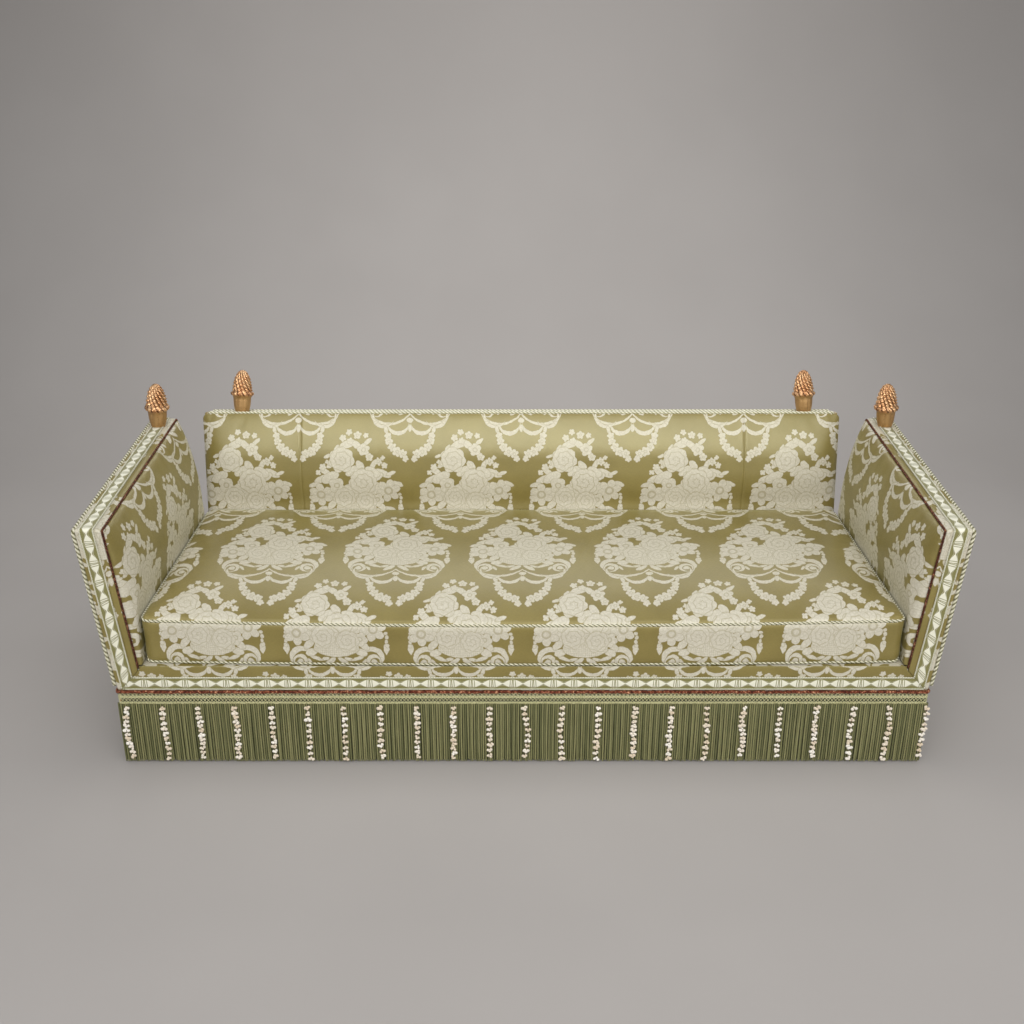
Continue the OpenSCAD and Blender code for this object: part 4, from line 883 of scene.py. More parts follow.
def settle(points):
    """The bench cushion bows forward and sags a little at the middle of its front"""
    x, y, z = points[..., 0], points[..., 1], points[..., 2]
    middle = 1 - (x / (CUSHION_W / 2)) ** 2
    near = np.clip(1 - (y - CUSHION_Y0) / 260, 0, 1) ** 2
    high = np.clip((z - CUSHION_LOW_Z) / (SEAT_Z - CUSHION_LOW_Z), 0, 1.2)
    out = points.copy()
    out[..., 1] -= FRONT_BOW * middle * near
    out[..., 2] -= FRONT_SAG * middle * near * high
    return out


def cushion_depths(z):
    y1 = back_plane_y(0, z) - 1
    return (y1 - CUSHION_Y0) / 2, (y1 + CUSHION_Y0) / 2


def make_cushion():
    skin = Skin()
    gx, gy = np.meshgrid(*(eased(-1.0, 1.0, 9.5 / half, 3 / half, 40 / half) for half in (CUSHION_W / 2, 390)))

    def plan(inset, z):
        half_d, mid = cushion_depths(z)
        a, b = CUSHION_W / 2 - inset, half_d - inset
        px, py = round_corners(gx * a, gy * b, a, b, max(CUSHION_R - inset, 6))
        return px, py + mid, np.minimum(a - np.abs(px), b - np.abs(py))

    px, py, near = plan(6.0, SEAT_Z - 3)
    edge = near.clip(0)
    along = np.where(CUSHION_W / 2 - np.abs(px) < py - CUSHION_Y0, py, px)
    pucker = 0.7 * np.exp(-edge / 22) * np.sin(along / 4.3 + 2 * wander(along, 5, 0.05)) * (1 - np.exp(-edge / 3))
    hollow = 2.2 * wander(px, 11, 0.006) * wander(py + 40, 12, 0.008) * smoothstep(edge / 120)
    rise = 3 * roll(edge / 10) + CROWN * roll(edge / 280)
    top = zipped(px, py, SEAT_Z - 3 + rise + pucker + hollow - 1.5 * smoothstep(edge / 200))
    flat_y = top[..., 1]
    top = top + swell(top, (0, 0, 1), 8.0)
    skin.grid(settle(top), seat_uv(zipped(top[..., 0], flat_y)))
    bx, by, near = plan(6.0, CUSHION_LOW_Z + 3)
    bottom = zipped(bx, by, CUSHION_LOW_Z + 3 - 3 * smoothstep(near / 16))
    skin.grid(settle(bottom)[:, ::-1], seat_uv(bottom)[:, ::-1])
    # The boxing between the seams draws in a little at mid height
    t = np.array([0, 0.045, 0.09, 0.16, 0.25, 0.35, 0.5, 0.65, 0.75, 0.84, 0.91, 0.955, 1.0])
    inset = np.array([6, 2.4, 0.8, 0.4, 0.9, 1.5, 2.0, 1.6, 1.0, 0.4, 0.8, 2.4, 6.0])
    ring_high, ring_low = (np.vstack([ring, ring[:1]]) for ring in (border_of(top), border_of(bottom)))
    rows = []
    for share, i in zip(t, inset):
        ring = ring_high * (1 - share) + ring_low * share
        out = np.gradient(ring, axis=0)
        out[0] = out[-1] = ring[1] - ring[-2]
        normal = zipped(out[:, 1], -out[:, 0], np.zeros(len(out)))
        normal /= np.maximum(np.linalg.norm(normal, axis=1, keepdims=True), 1e-9)
        # Drawn in along a join in the boxing's front, and puckered beside both seams
        join = np.exp(-((ring[:, 0] - 512) / 2.5) ** 2) * (ring[:, 1] < 60)
        pucker = 0.35 * np.exp(-min(share, 1 - share) * 18) * np.sin(np.arange(len(ring)) * 2.1)
        rows.append(ring + normal * (6 - i - 1.2 * join + pucker)[:, None] * (0 < share < 1))
    wall = np.array(rows)
    x, y, z = np.moveaxis(wall, -1, 0)
    side = (np.abs(x) > CUSHION_W / 2 - 40) & (y >= 60)
    u = np.where(side, y / REPEAT + 0.3, x / FRONT_REPEAT)
    skin.grid(settle(wall), zipped(u, -0.722 - (SEAT_Z - z) / REPEAT))
    dress(skin.build("bench_cushion", damask, weld=0.05), "cushion", "seat_cushion")


def make_piping():
    skin = Skin()
    for z in (SEAT_Z - PIPING_R, CUSHION_LOW_Z + PIPING_R):
        half_d, mid = cushion_depths(z)
        a, b, r = CUSHION_W / 2 - PIPING_R, half_d - PIPING_R, CUSHION_R - PIPING_R
        corners = [(-a, mid - b, z), (a, mid - b, z), (a, mid + b, z), (-a, mid + b, z)]
        path = settle(resample(rounded(corners, r, closed=True, steps=10), 2.6, closed=True))
        tube(skin, path, PIPING_R * 1.08, 12, 4, 0.42, 26, closed=True)
    dress(skin.build("cushion_rope_piping", rope, normals=False), "cushion", "cushion_piping")


# ---------------------------------------------------------------- back

BACK_SEAMS = (-733.0, 743.0)
BACK_BULGE = 23.0


def make_back_pad():
    skin = Skin()
    half_w, half_h, mid = BACK_W / 2, (BACK_TOP - BACK_LOW) / 2, (BACK_TOP + BACK_LOW) / 2
    seams = [x + d for x in BACK_SEAMS for d in (-9, -4, -1.6, 0, 1.6, 4, 9)]
    xs = np.unique(np.round(np.concatenate([eased(-half_w, half_w, 10, 3, 45), seams]), 2))
    hs = eased(-half_h, half_h, 9, 3, 45)
    gx, gh = np.meshgrid(xs, hs)
    px, ph = round_corners(gx, gh, half_w, half_h, 18)
    near = np.minimum(half_w - np.abs(px), half_h - np.abs(ph)).clip(0)
    top_near = (half_h - ph).clip(0)
    full = roll(np.minimum((half_w - np.abs(px)) / 70, 1)) * roll(np.minimum((half_h - np.abs(ph)) / 70, 1))
    depth = BACK_SWELL * (1 - full)
    for x in BACK_SEAMS:
        depth = depth + 1.5 * np.exp(-((px - x) / 2.2) ** 2) - 0.5 * np.exp(-((np.abs(px - x) - 7) / 4) ** 2)
    depth = depth - 1.4 * wander(px, 3, 0.007) * wander(ph, 4, 0.012) * smoothstep(near / 60)
    depth = depth + 0.5 * np.exp(-top_near / 20) * np.sin(px / 4.1 + 2 * wander(px, 8, 0.04)) * smoothstep(near / 4)
    h = ph + mid
    bulge = smoothstep((h - 14) / 110) * smoothstep((BACK_TOP - h) / 150) * roll((half_w - np.abs(px)) / 110)
    face = raked(px, depth - BACK_BULGE * bulge, h)
    face = face + swell(face, (0, -1, 0), 6.0) * smoothstep((h - 14) / 60)[..., None]
    rear = raked(px, BACK_PAD_T, h)
    uv = zipped(px / REPEAT, 1.055 + h / REPEAT)
    closed_slab(skin, face, rear, uv)
    dress(skin.build("padded_back", damask, weld=0.05), "seat_frame", "back_pad")


def make_back_cover():
    """Outside back: one cloth round the frame's sides and rear, down to the rails"""
    skin = Skin()
    half, step, thick = BACK_W / 2, 12.0, 4.4
    turn = rounded([(-half, BACK_PAD_T, 0), (-half, BACK_T, 0), (half, BACK_T, 0), (half, BACK_PAD_T, 0)], 9)
    x, d, _ = resample(turn, step).T
    s = np.arange(len(x)) * step
    tx, td = np.gradient(x), np.gradient(d)
    nx, nd = -td / np.hypot(tx, td), tx / np.hypot(tx, td)
    low = -(SEAT_Z - RAIL_TOP) / math.cos(RAKE)
    floor_h = np.minimum(low + d * math.tan(RAKE) + 0.6, BACK_TOP - 20)
    outer, inner, uv = [], [], []
    for level in np.linspace(0, 1, 46):
        h = floor_h + (BACK_TOP - floor_h) * level
        quilt = 1.2 * np.sin(math.pi * level) * np.sin(math.pi * (s / s[-1]))
        outer.append(raked(x + nx * quilt, d + nd * quilt, h))
        inner.append(raked(x - nx * thick, np.maximum(d - nd * thick, BACK_PAD_T + 0.2), h))
        uv.append(zipped(s / REPEAT, h / REPEAT + 0.4))
    closed_slab(skin, outer, inner, uv)
    # Its tongues lie over the ledges of the rails behind the arms
    for side in (-1, 1):
        gx, gy = np.meshgrid(np.linspace(1056, RAIL_X + 0.6, 12), np.linspace(ARM_Y1 + 6, BASE_D - 0.5, 12))
        puff = 3.4 + 1.6 * np.sin(math.pi * (gx - 1056) / (RAIL_X - 1055)) * np.sin(math.pi * (gy - ARM_Y1) / 70)
        closed_slab(skin, zipped(side * gx, gy, RAIL_TOP + puff), zipped(side * gx, gy, RAIL_TOP + 0.2),
                    zipped(gx / REPEAT, gy / REPEAT))
    dress(skin.build("outside_back_cover", damask, weld=0.05), "seat_frame", "back_outside_cover")


def make_back_top():
    skin = Skin()
    x = BACK_W / 2 - TOP_CORD_R - 18
    for depth in (BACK_SWELL + TOP_CORD_R, BACK_T - TOP_CORD_R):
        path = resample(raked([-x, x], depth, BACK_TOP + TOP_CORD_R), 2.2)
        tube(skin, path, TOP_CORD_R * 1.7, 12, 4, 0.4, 26)
    dress(skin.build("back_top_cords", pale_rope, normals=False), "seat_frame", "back_cords")
    xs, ds = spread(-BACK_W / 2 + 9, BACK_W / 2 - 9, 6), np.linspace(BACK_SWELL + 6.3, BACK_T - 6.3, 15)
    gx, gd = np.meshgrid(xs, ds)
    share = (gd - ds[0]) / (ds[-1] - ds[0])
    relief = 2.6 * np.abs(np.sin(gx / 38 * math.pi)) * np.sin(math.pi * (gd - ds[0]) / (ds[-1] - ds[0])) ** 0.5
    relief = relief * (np.minimum(gx - xs[0], xs[-1] - gx) > 1)
    drop = 6 * ((np.abs(gx) - BACK_W / 2 + 19).clip(0) / 10) ** 2
    piece = slab("back_top_band_lace", lace, raked(gx, gd, BACK_H - 1 + relief - drop),
                 raked(gx, gd, BACK_TOP - drop), zipped(gx / MOTIF, share), sharp=50)
    dress(piece, "seat_frame", "back_top_band")


# ---------------------------------------------------------------- arms

PAD_REVEAL = 2 * EDGE_CORD_R + 0.3


def pad_thickness(y, z):
    y0, y1 = ARM_Y0 + PAD_REVEAL, ARM_Y1 - PAD_REVEAL
    top = (top_z(y) - PAD_REVEAL - z) / 190
    full = PAD_EDGE + 38 * roll(top) * roll((y - y0) / 110) * roll((y1 - y) / 45)
    room = outer_x(z) - PAD_A - CUSHION_W / 2 - 1.5
    return np.maximum(PAD_EDGE, np.minimum(full, room))


def make_arm_pad(side):
    y0, y1 = ARM_Y0 + PAD_REVEAL, ARM_Y1 - PAD_REVEAL
    low = PLATFORM_Z + PAD_EDGE / 4
    gu, gv = crossed(eased(0, 1, 0.012, 0.004, 0.08), eased(0, 1, 0.02, 0.006, 0.09))
    y = y0 + (y1 - y0) * gu
    z = low + (top_z(y) - PAD_REVEAL - low) * gv
    from_top, from_front, from_rear = top_z(y) - PAD_REVEAL - z, y - y0, y1 - y
    near = np.minimum(np.minimum(from_top, from_front), from_rear)
    gathers = np.exp(-from_top / 16) * np.sin(y / 1.55 + 3 * wander(y, 21, 0.05))
    gathers = gathers + np.exp(-from_front / 14) * np.sin(z / 1.6 + 3 * wander(z, 22, 0.05)) * (from_top > 10)
    thick = pad_thickness(y, z) + 1.3 * gathers * smoothstep(near / 3)
    thick = thick + (1.5 * wander(y, 31, 0.011) * wander(z, 32, 0.013) - 1.0) * smoothstep(near / 60)
    face = zipped(outer_x(z) - PAD_A - thick, y, z)
    face = face + swell(face, (-1, 0, 0), 6.0) * smoothstep((z - SEAT_Z - 10) / 50)[..., None]
    piece = slab(f"{side}_arm_padding", damask, face, zipped(outer_x(z) - PAD_A, y, z),
                 zipped(y / REPEAT + 0.72, (z - SEAT_Z) / REPEAT + 0.10), mirrored=side == "left")
    dress(piece, f"{side}_arm", f"{side}_arm_pad")


def make_arm_outside(side):
    inset = 2 * ROPE_R + 0.3
    y0, y1 = ARM_Y0 + inset, ARM_Y1 - inset
    foot, cover = FOOT_Z + 6.5, 2 * ROPE_DEPTH
    gu, gv = crossed(eased(0, 1, 0.02, 0.006, 0.04), eased(0, 1, 0.03, 0.008, 0.05))
    y = y0 + (y1 - y0) * gu
    z = foot + (top_z(y) - inset - foot) * gv
    near = np.minimum(np.minimum(y - y0, y1 - y), np.minimum(z - foot, top_z(y) - inset - z))
    puff = 2.0 * roll(near / 60) + 0.7 * wander(y, 41, 0.01) * wander(z, 42, 0.012) * smoothstep(near / 50)
    zr = np.maximum(z, FOOT_Z + cover * MITRE_RISE / ARM_T + 0.3 + (z - foot) * 0.01)
    piece = slab(f"{side}_arm_outside", damask, zipped(outer_x(z) - 2.4 + puff, y, z),
                 zipped(outer_x(zr) - cover, y, zr),
                 zipped(y / REPEAT + 0.2, (z - FOOT_Z) / REPEAT + 0.25), mirrored=side == "left")
    dress(piece, f"{side}_arm", f"{side}_arm_outer_cover")


def front_foot(a):
    return FOOT_Z + np.maximum(0, a - LEVEL_FOOT) + 0.5


def rear_foot(a):
    return FOOT_Z + a * MITRE_RISE / ARM_T + 0.5


def edge_points(a, out, count_up=70, count_along=110):
    """Rows round an arm's front, top and rear edges at a depth from its outer face, standing out from them"""
    turn, bend = 5.0, np.linspace(0.15, 0.85, 5)
    up, along = np.linspace(0, 1, count_up), np.linspace(0, 1, count_along)
    front_top, rear_top = top_z(ARM_Y0), top_z(ARM_Y1)
    front, rear = front_foot(a), rear_foot(a)
    rows = [(ARM_Y0 - out, front + (front_top - turn - front) * t) for t in up]
    rows += [(ARM_Y0 + turn + (turn + out) * math.cos(angle), front_top - turn + (turn + out) * math.sin(angle))
             for angle in math.pi * (1 - bend / 2)]
    rows += [(y, top_z(y) + out) for y in ARM_Y0 + turn + (ARM_Y1 - ARM_Y0 - 2 * turn) * along]
    rows += [(ARM_Y1 - turn + (turn + out) * math.cos(angle), rear_top - turn + (turn + out) * math.sin(angle))
             for angle in math.pi / 2 * (1 - bend)]
    rows += [(ARM_Y1 + out, rear + (rear_top - turn - rear) * t) for t in up[::-1]]
    y, z = (np.array([row[k] * np.ones_like(a) for row in rows]) for k in (0, 1))
    return zipped(outer_x(z) - a, y, z)


def run_length(points):
    return lengths_along(points[:, points.shape[1] // 2])


def make_arm_border(side):
    """Cloth facing on the front, top and rear edges"""
    a = np.concatenate([np.linspace(2 * ROPE_DEPTH + 0.3, 23.6, 8), np.linspace(24.6, 63, 6),
                        np.linspace(64.2, PAD_A, 10)])
    outer, inner = np.clip((a - 13) / 11, 0, 1), np.clip((a - 64.2) / 17, 0, 1)
    puff = 0.9 * np.sin(math.pi * outer) + 1.2 * np.sin(math.pi * inner)
    face = edge_points(a, np.where((a > 24) & (a < 63.6), 0, puff) - 0.9)
    piece = slab(f"{side}_arm_facing", damask, face, edge_points(a, np.full_like(a, -FACING_T)),
                 zipped((a - 12) / REPEAT + 0.33, (run_length(face) / REPEAT)[:, None]), mirrored=side == "left")
    dress(piece, f"{side}_arm", f"{side}_arm_border")


def beads_along(skin, path):
    tube(skin, resample(path, 1.15), 1.9, 6, beads=4.1)


def braid_face(share):
    """How far a braid stands out, from one edge to the other"""
    return BRAID_T * (0.55 + 0.45 * np.sin(math.pi * share) ** 0.5)


def make_arm_braid(side):
    skin = Skin()
    share = np.linspace(0, 1, 27)
    a = BRAID_INSET + BRAID_W * share
    face, rear = edge_points(a, braid_face(share), 160, 260), edge_points(a, np.zeros_like(a), 160, 260)
    s, y = run_length(face)[:, None] / MOTIF, face[..., 1]
    lift = BRAID_LIFT * braid_shape(s, share[None, :])
    step = zipped(0 * y, np.where(y < ARM_Y0 + 4, -lift, np.where(y > ARM_Y1 - 4, lift, 0)),
                  np.where((y >= ARM_Y0 + 4) & (y <= ARM_Y1 - 4), lift, 0))
    closed_slab(skin, face + step, rear, zipped(s, share))
    for depth in (BRAID_INSET + BEAD_IN, BRAID_INSET + BRAID_W - BEAD_IN):
        beads_along(skin, edge_points(np.array([depth]), BRAID_T - 0.7, 120, 180)[:, 0])
    piece = skin.build(f"{side}_arm_figured_braid", braid, weld=0.02, mirrored=side == "left")
    dress(piece, f"{side}_arm", f"{side}_arm_braid")


def edge_path(a, inset, low_z):
    near, far = ARM_Y0 + inset, ARM_Y1 - inset
    route = [(near, low_z), (near, top_z(near) - inset), (far, top_z(far) - inset), (far, low_z)]
    return [(outer_x(z) - a, y, z) for y, z in route]


def make_arm_cords(side):
    left = side == "left"
    skin = Skin()
    path = resample(rounded(edge_path(ROPE_DEPTH, ROPE_R, FOOT_Z + 2 * ROPE_R), 7), 2.4)
    tube(skin, path, ROPE_R * 1.05, 16, 4, 0.40, 30)
    dress(skin.build(f"{side}_arm_twisted_rope", rope, normals=False, mirrored=left),
          f"{side}_arm", f"{side}_arm_rope")
    skin = Skin()
    low_z = float(front_foot(np.array(ARM_T))) + EDGE_CORD_R
    path = resample(rounded(edge_path(ARM_T - CORD_DEPTH, EDGE_CORD_R, low_z), 4), 1.1)
    tube(skin, path, EDGE_CORD_R * 0.95, 8, rough=0.75)
    dress(skin.build(f"{side}_arm_chenille_cord", dark_chenille, normals=False, mirrored=left),
          f"{side}_arm", f"{side}_arm_cord")


# ---------------------------------------------------------------- base covers and trimmings

def border_end(z):
    high = FOOT_Z + ARM_T - LEVEL_FOOT
    at_foot = FOOT_X - LEVEL_FOOT
    slope = (outer_x(high) - ARM_T - at_foot) / (high - FOOT_Z)
    middle = at_foot + (z - FOOT_Z) * slope
    return np.where(z < FOOT_Z, at_foot, np.where(z < high, middle, outer_x(z) - ARM_T)) - 0.5


def make_front_border():
    zs = np.array([240.0, 241, 244, 250, 256, 262, 268, 274, 280, 282,
                   285, 290, 295, 300, 304, 308, 311, 313.4, 314.5])
    gz, gt = crossed(zs, np.linspace(-1, 1, 260))
    x = border_end(gz) * gt
    puff = 1.0 * np.sin(math.pi * np.clip((gz - 282) / 32.5, 0, 1)) ** 0.7 - 0.5
    piece = slab("front_facing", damask, zipped(x, -FACING_T + 0.8 - puff, gz), zipped(x, 0.0, gz),
                 zipped(x / FRONT_REPEAT + 0.04, -1.165 - (PLATFORM_Z - gz) / 330))
    dress(piece, "seat_frame", "front_border")


def make_front_braid():
    skin = Skin()

    def end_x(z):
        return outer_x(z) - BRAID_INSET - (z - BRAID_LOW)

    share = np.linspace(0, 1, 27)
    gz, gt = crossed(BRAID_LOW + BRAID_W * share, np.linspace(-1, 1, 1301))
    x = (end_x(gz) - 0.5) * gt
    out = braid_face(share)[:, None] + BRAID_LIFT * braid_shape(x / MOTIF, share[:, None])
    closed_slab(skin, zipped(x, -FACING_T - out, gz), zipped(x, -FACING_T, gz), zipped(x / MOTIF, share[:, None]))
    for z in (BRAID_LOW + BEAD_IN, BRAID_LOW + BRAID_W - BEAD_IN):
        beads_along(skin, [(side * end_x(z), -FACING_T - BRAID_T + 0.7, z) for side in (-1, 1)])
    dress(skin.build("front_figured_braid", braid, weld=0.02), "seat_frame", "front_braid")


def base_loop(out, z):
    x, y0, y1 = RAIL_X + out, -out, BASE_D + out
    return [(-x, y0, z), (x, y0, z), (x, y1, z), (-x, y1, z)]


def make_base_cord():
    skin = Skin()
    path = resample(rounded(base_loop(BASE_CORD_R, CORD_Z), 9, closed=True), 1.25, closed=True)
    s = np.arange(len(path)) * 1.25
    lump = rng.uniform(-1, 1, len(path) // 5 + 2)
    lumps = np.interp(s / 6.25, np.arange(len(lump)), lump) * (s < s[-1] - 7)
    path[:, 2] += 0.5 * wander(s, 51, 0.05) + 1.1 * lumps
    path[-1] = path[0]
    tube(skin, path, BASE_CORD_R * 0.85, 10, rough=1.4, closed=True)
    dress(skin.build("base_chenille_cord", chenille, normals=False), "seat_frame", "base_cord")


def make_heading():
    """Crochet heading: a dense scalloped band, a row of open lozenges on a dark sheet of painted shade, and a
    corded foot
    """
    # The dark sheet behind the lozenges is painted shade showing through the openwork
    tape = resample(rounded(base_loop(1.4, 0), 4, closed=True), 9, closed=True)
    x, y, _ = tape.T
    inward = zipped(np.sign(x) * (np.abs(x) > RAIL_X - 1),
                    np.sign(y - BASE_D / 2) * ((y < 1) | (y > BASE_D - 1)), 0.0)
    face = np.array([tape + np.array([0, 0, z]) for z in np.linspace(HEADING_LOW + 0.5, HEADING_TOP - 5, 5)])
    dress(slab("heading_shade_sheet", bullion_shade, face, face - inward[None] * 1.2, np.zeros(face.shape[:2] + (2,)),
               weld=0.02), "seat_frame")
    pitch = 1.83
    line = resample(rounded(base_loop(3.4, 0), 5, closed=True, steps=8), pitch, closed=True)
    total = (len(line) - 1) * pitch
    s = np.linspace(0, total, len(line))
    period, stitch = total / round(total / 20), total / round(total / 11)

    def row(skin, z, radius, sides, beads=0.0):
        path = line.copy()
        path[:, 2] = z
        tube(skin, path, radius, sides, beads=beads, closed=True)

    skin = Skin()
    for phase in (0.0, 0.5):
        row(skin, 200.5 + 12.5 * np.abs(((s / period + phase) % 1) * 2 - 1), 0.95, 5)
    for z, radius in ((196.9, 1.7), (199.9, 1.3)):
        row(skin, z, radius, 6, 5.5)
    dress(skin.build("heading_crochet_net", crochet, normals=False), "seat_frame", "fringe_heading")
    # Rows of stitches above the lozenges, the last of them scalloped
    skin = Skin()
    for z in (215.0, 218.0, 221.0):
        row(skin, z + 0.7 * np.sin(2 * math.pi * s / stitch + z), 1.55, 5, 3.6)
    row(skin, 222.5 + 5.6 * np.sqrt(np.abs(np.sin(math.pi * s / stitch))), 1.4, 5, 3.6)
    dress(skin.build("heading_crochet_band", crochet, normals=False), "seat_frame")


# From one hanging cord to the next, their radius and where they end; ribs of the curtain behind them
BULLION_PITCH, BULLION_R, BULLION_FOOT, RIB = 6.2, 1.12, 4.6, 3.1


def make_fringe(name, node, start, end, out):
    """Bullion fringe: doubled twisted cords hang from the heading, each with a loop at its foot"""
    start, end, out = (np.asarray(v, float) for v in (start, end, out))
    along = (end - start) / np.linalg.norm(end - start)
    length = np.linalg.norm(end - start)
    count = int(length / BULLION_PITCH)
    skin = Skin()
    top = HEADING_LOW + 3
    t = np.linspace(0, 1, 13)
    bend = np.linspace(0, math.pi, 7)[1:-1]
    for k in range(count):
        centre = start + along * length * (k + 0.5) / count
        low = BULLION_FOOT + 1.6 + max(0.0, rng.normal(0.8, 1.6))
        sway, lean = rng.normal(0, 0.5), rng.normal(0, 0.7)
        push = 5.6 + rng.uniform(-0.9, 1.2)
        down = top + (low + 1.7 - top) * t
        curve = sway * np.sin(math.pi * t) + lean * t
        left = centre[None, :] + along * (curve - 1.1)[:, None] + out * (push - 1.8 * (1 - t) ** 2)[:, None]
        left[:, 2] = down
        turn = centre[None, :] + along * (lean - 1.1 * np.cos(bend))[:, None] + out * push
        turn[:, 2] = low + 1.2 - 1.2 * np.sin(bend)
        right = left[::-1] + along * 2.2
        tube(skin, np.vstack([left, turn, right]), BULLION_R, 6, lead=8.0, caps=False, tag=k)
    dress(skin.build(name, bullion, normals=False), "seat_frame", node)
    # Cords behind those in front, drawn as one ribbed curtain whose dark colour is painted shade
    skin = Skin()
    gt, gs = crossed(np.linspace(0, 1, 9), np.linspace(0, length, int(length / (RIB / 2))))
    ridge = 0.9 * np.abs(np.sin(math.pi * gs / RIB))
    points = start + along * gs[..., None] + out * (2.2 + ridge)[..., None]
    points[..., 2] = top + (BULLION_FOOT + 5 + 2 * wander(gs, 61, 0.2) - top) * gt
    back = start + along * gs[..., None] + out * np.full_like(gs, 0.6)[..., None]
    back[..., 2] = points[..., 2]
    closed_slab(skin, points, back, zipped(gs / RIB, gt * 20))
    dress(skin.build(name + "_behind", bullion_shade, normals=False), "seat_frame")


def make_fringes():
    x = RAIL_X
    make_fringe("front_bullion", "fringe_front", (-x - 8, 0, 0), (x + 8, 0, 0), (0, -1, 0))
    make_fringe("rear_bullion", "fringe_rear", (x + 8, BASE_D, 0), (-x - 8, BASE_D, 0), (0, 1, 0))
    make_fringe("right_bullion", "fringe_right", (x, 0.5, 0), (x, BASE_D - 0.5, 0), (1, 0, 0))
    make_fringe("left_bullion", "fringe_left", (-x, BASE_D - 0.5, 0), (-x, 0.5, 0), (-1, 0, 0))


STRAND_PITCH = 102


def make_florets():
    """Strands of small silk bows, each on a brown thread"""
    bows, threads = Skin(), Skin()
    end_x, out, shift = RAIL_X - 7, 12.8, 8.0
    gaps_x, gaps_y = round(2 * end_x / STRAND_PITCH), round(BASE_D / STRAND_PITCH)
    spots = [(shift - end_x + 2 * end_x * i / gaps_x, y, 0.0 if y < 0 else math.pi) for i in range(gaps_x + 1)
             for y in (-out, BASE_D + out)]
    spots += [(s * (RAIL_X + out), BASE_D * j / gaps_y, s * math.pi / 2) for j in range(1, gaps_y) for s in (-1, 1)]
    for x, y, yaw in spots:
        count = int(rng.integers(10, 13))
        top, low = 186.0, 24.0 + rng.uniform(-6, 8)
        cx, cy = math.cos(yaw), math.sin(yaw)
        sway = rng.normal(0, 1.9, 4)
        zs = np.linspace(top, low, count)
        line = []
        for k, z in enumerate(zs):
            t = k / (count - 1)
            off = sway[0] * math.sin(3 * t) + sway[1] * math.sin(6.5 * t + sway[2]) + rng.normal(0, 0.9)
            px, py = x + off * cx, y + off * cy
            line.append((px, py, z))
            r = rng.uniform(0.85, 1.15)
            turn = yaw + rng.normal(0, 0.25)
            tip, up, tone = rng.normal(0, 0.4), rng.choice((-1, 1)), (rng.uniform(0, 1), 0.5)
            for dx, dz, wide, tall in ((-4.4, 1.7, 5.2, 4.3), (4.4, 1.7, 5.2, 4.3), (0.0, -3.0, 4.0, 3.8)):
                dx, dz = (dx + rng.normal(0, 0.5)) * r, (dz * up + rng.normal(0, 0.5)) * r
                sx, sz = dx * math.cos(tip) - dz * math.sin(tip), dx * math.sin(tip) + dz * math.cos(tip)
                size = r * rng.uniform(0.85, 1.15)
                blob(bows, (px + sx * cx, py + sx * cy, z + sz), (wide * size, 3.6, tall * size), turn,
                     tip + 0.35 * up * np.sign(dx), tone)
        start = np.array([(x, y, HEADING_LOW - 0.5)])
        tube(threads, resample(np.vstack([start, line]), 6), 0.9, 5, rough=0.15)
    dress(bows.build("floret_bows", floret, normals=False), "seat_frame", "floret_tufts")
    dress(threads.build("floret_threads", thread, normals=False), "seat_frame")


# ---------------------------------------------------------------- finials

# The acorn's outline from its foot up: radius and height as shares of the finial's, and its size beside the CAD's
PROFILE = [(0, 0), (0.6, 0), (0.64, 0.02), (0.71, 0.07), (0.78, 0.15), (0.83, 0.27), (0.84, 0.36), (0.9, 0.39),
           (1, 0.42), (1, 0.47), (0.9, 0.5), (0.82, 0.53), (0.81, 0.6), (0.78, 0.7), (0.72, 0.8), (0.6, 0.88),
           (0.42, 0.95), (0.2, 0.99), (0.02, 1.0)]
CARVED = 0.93


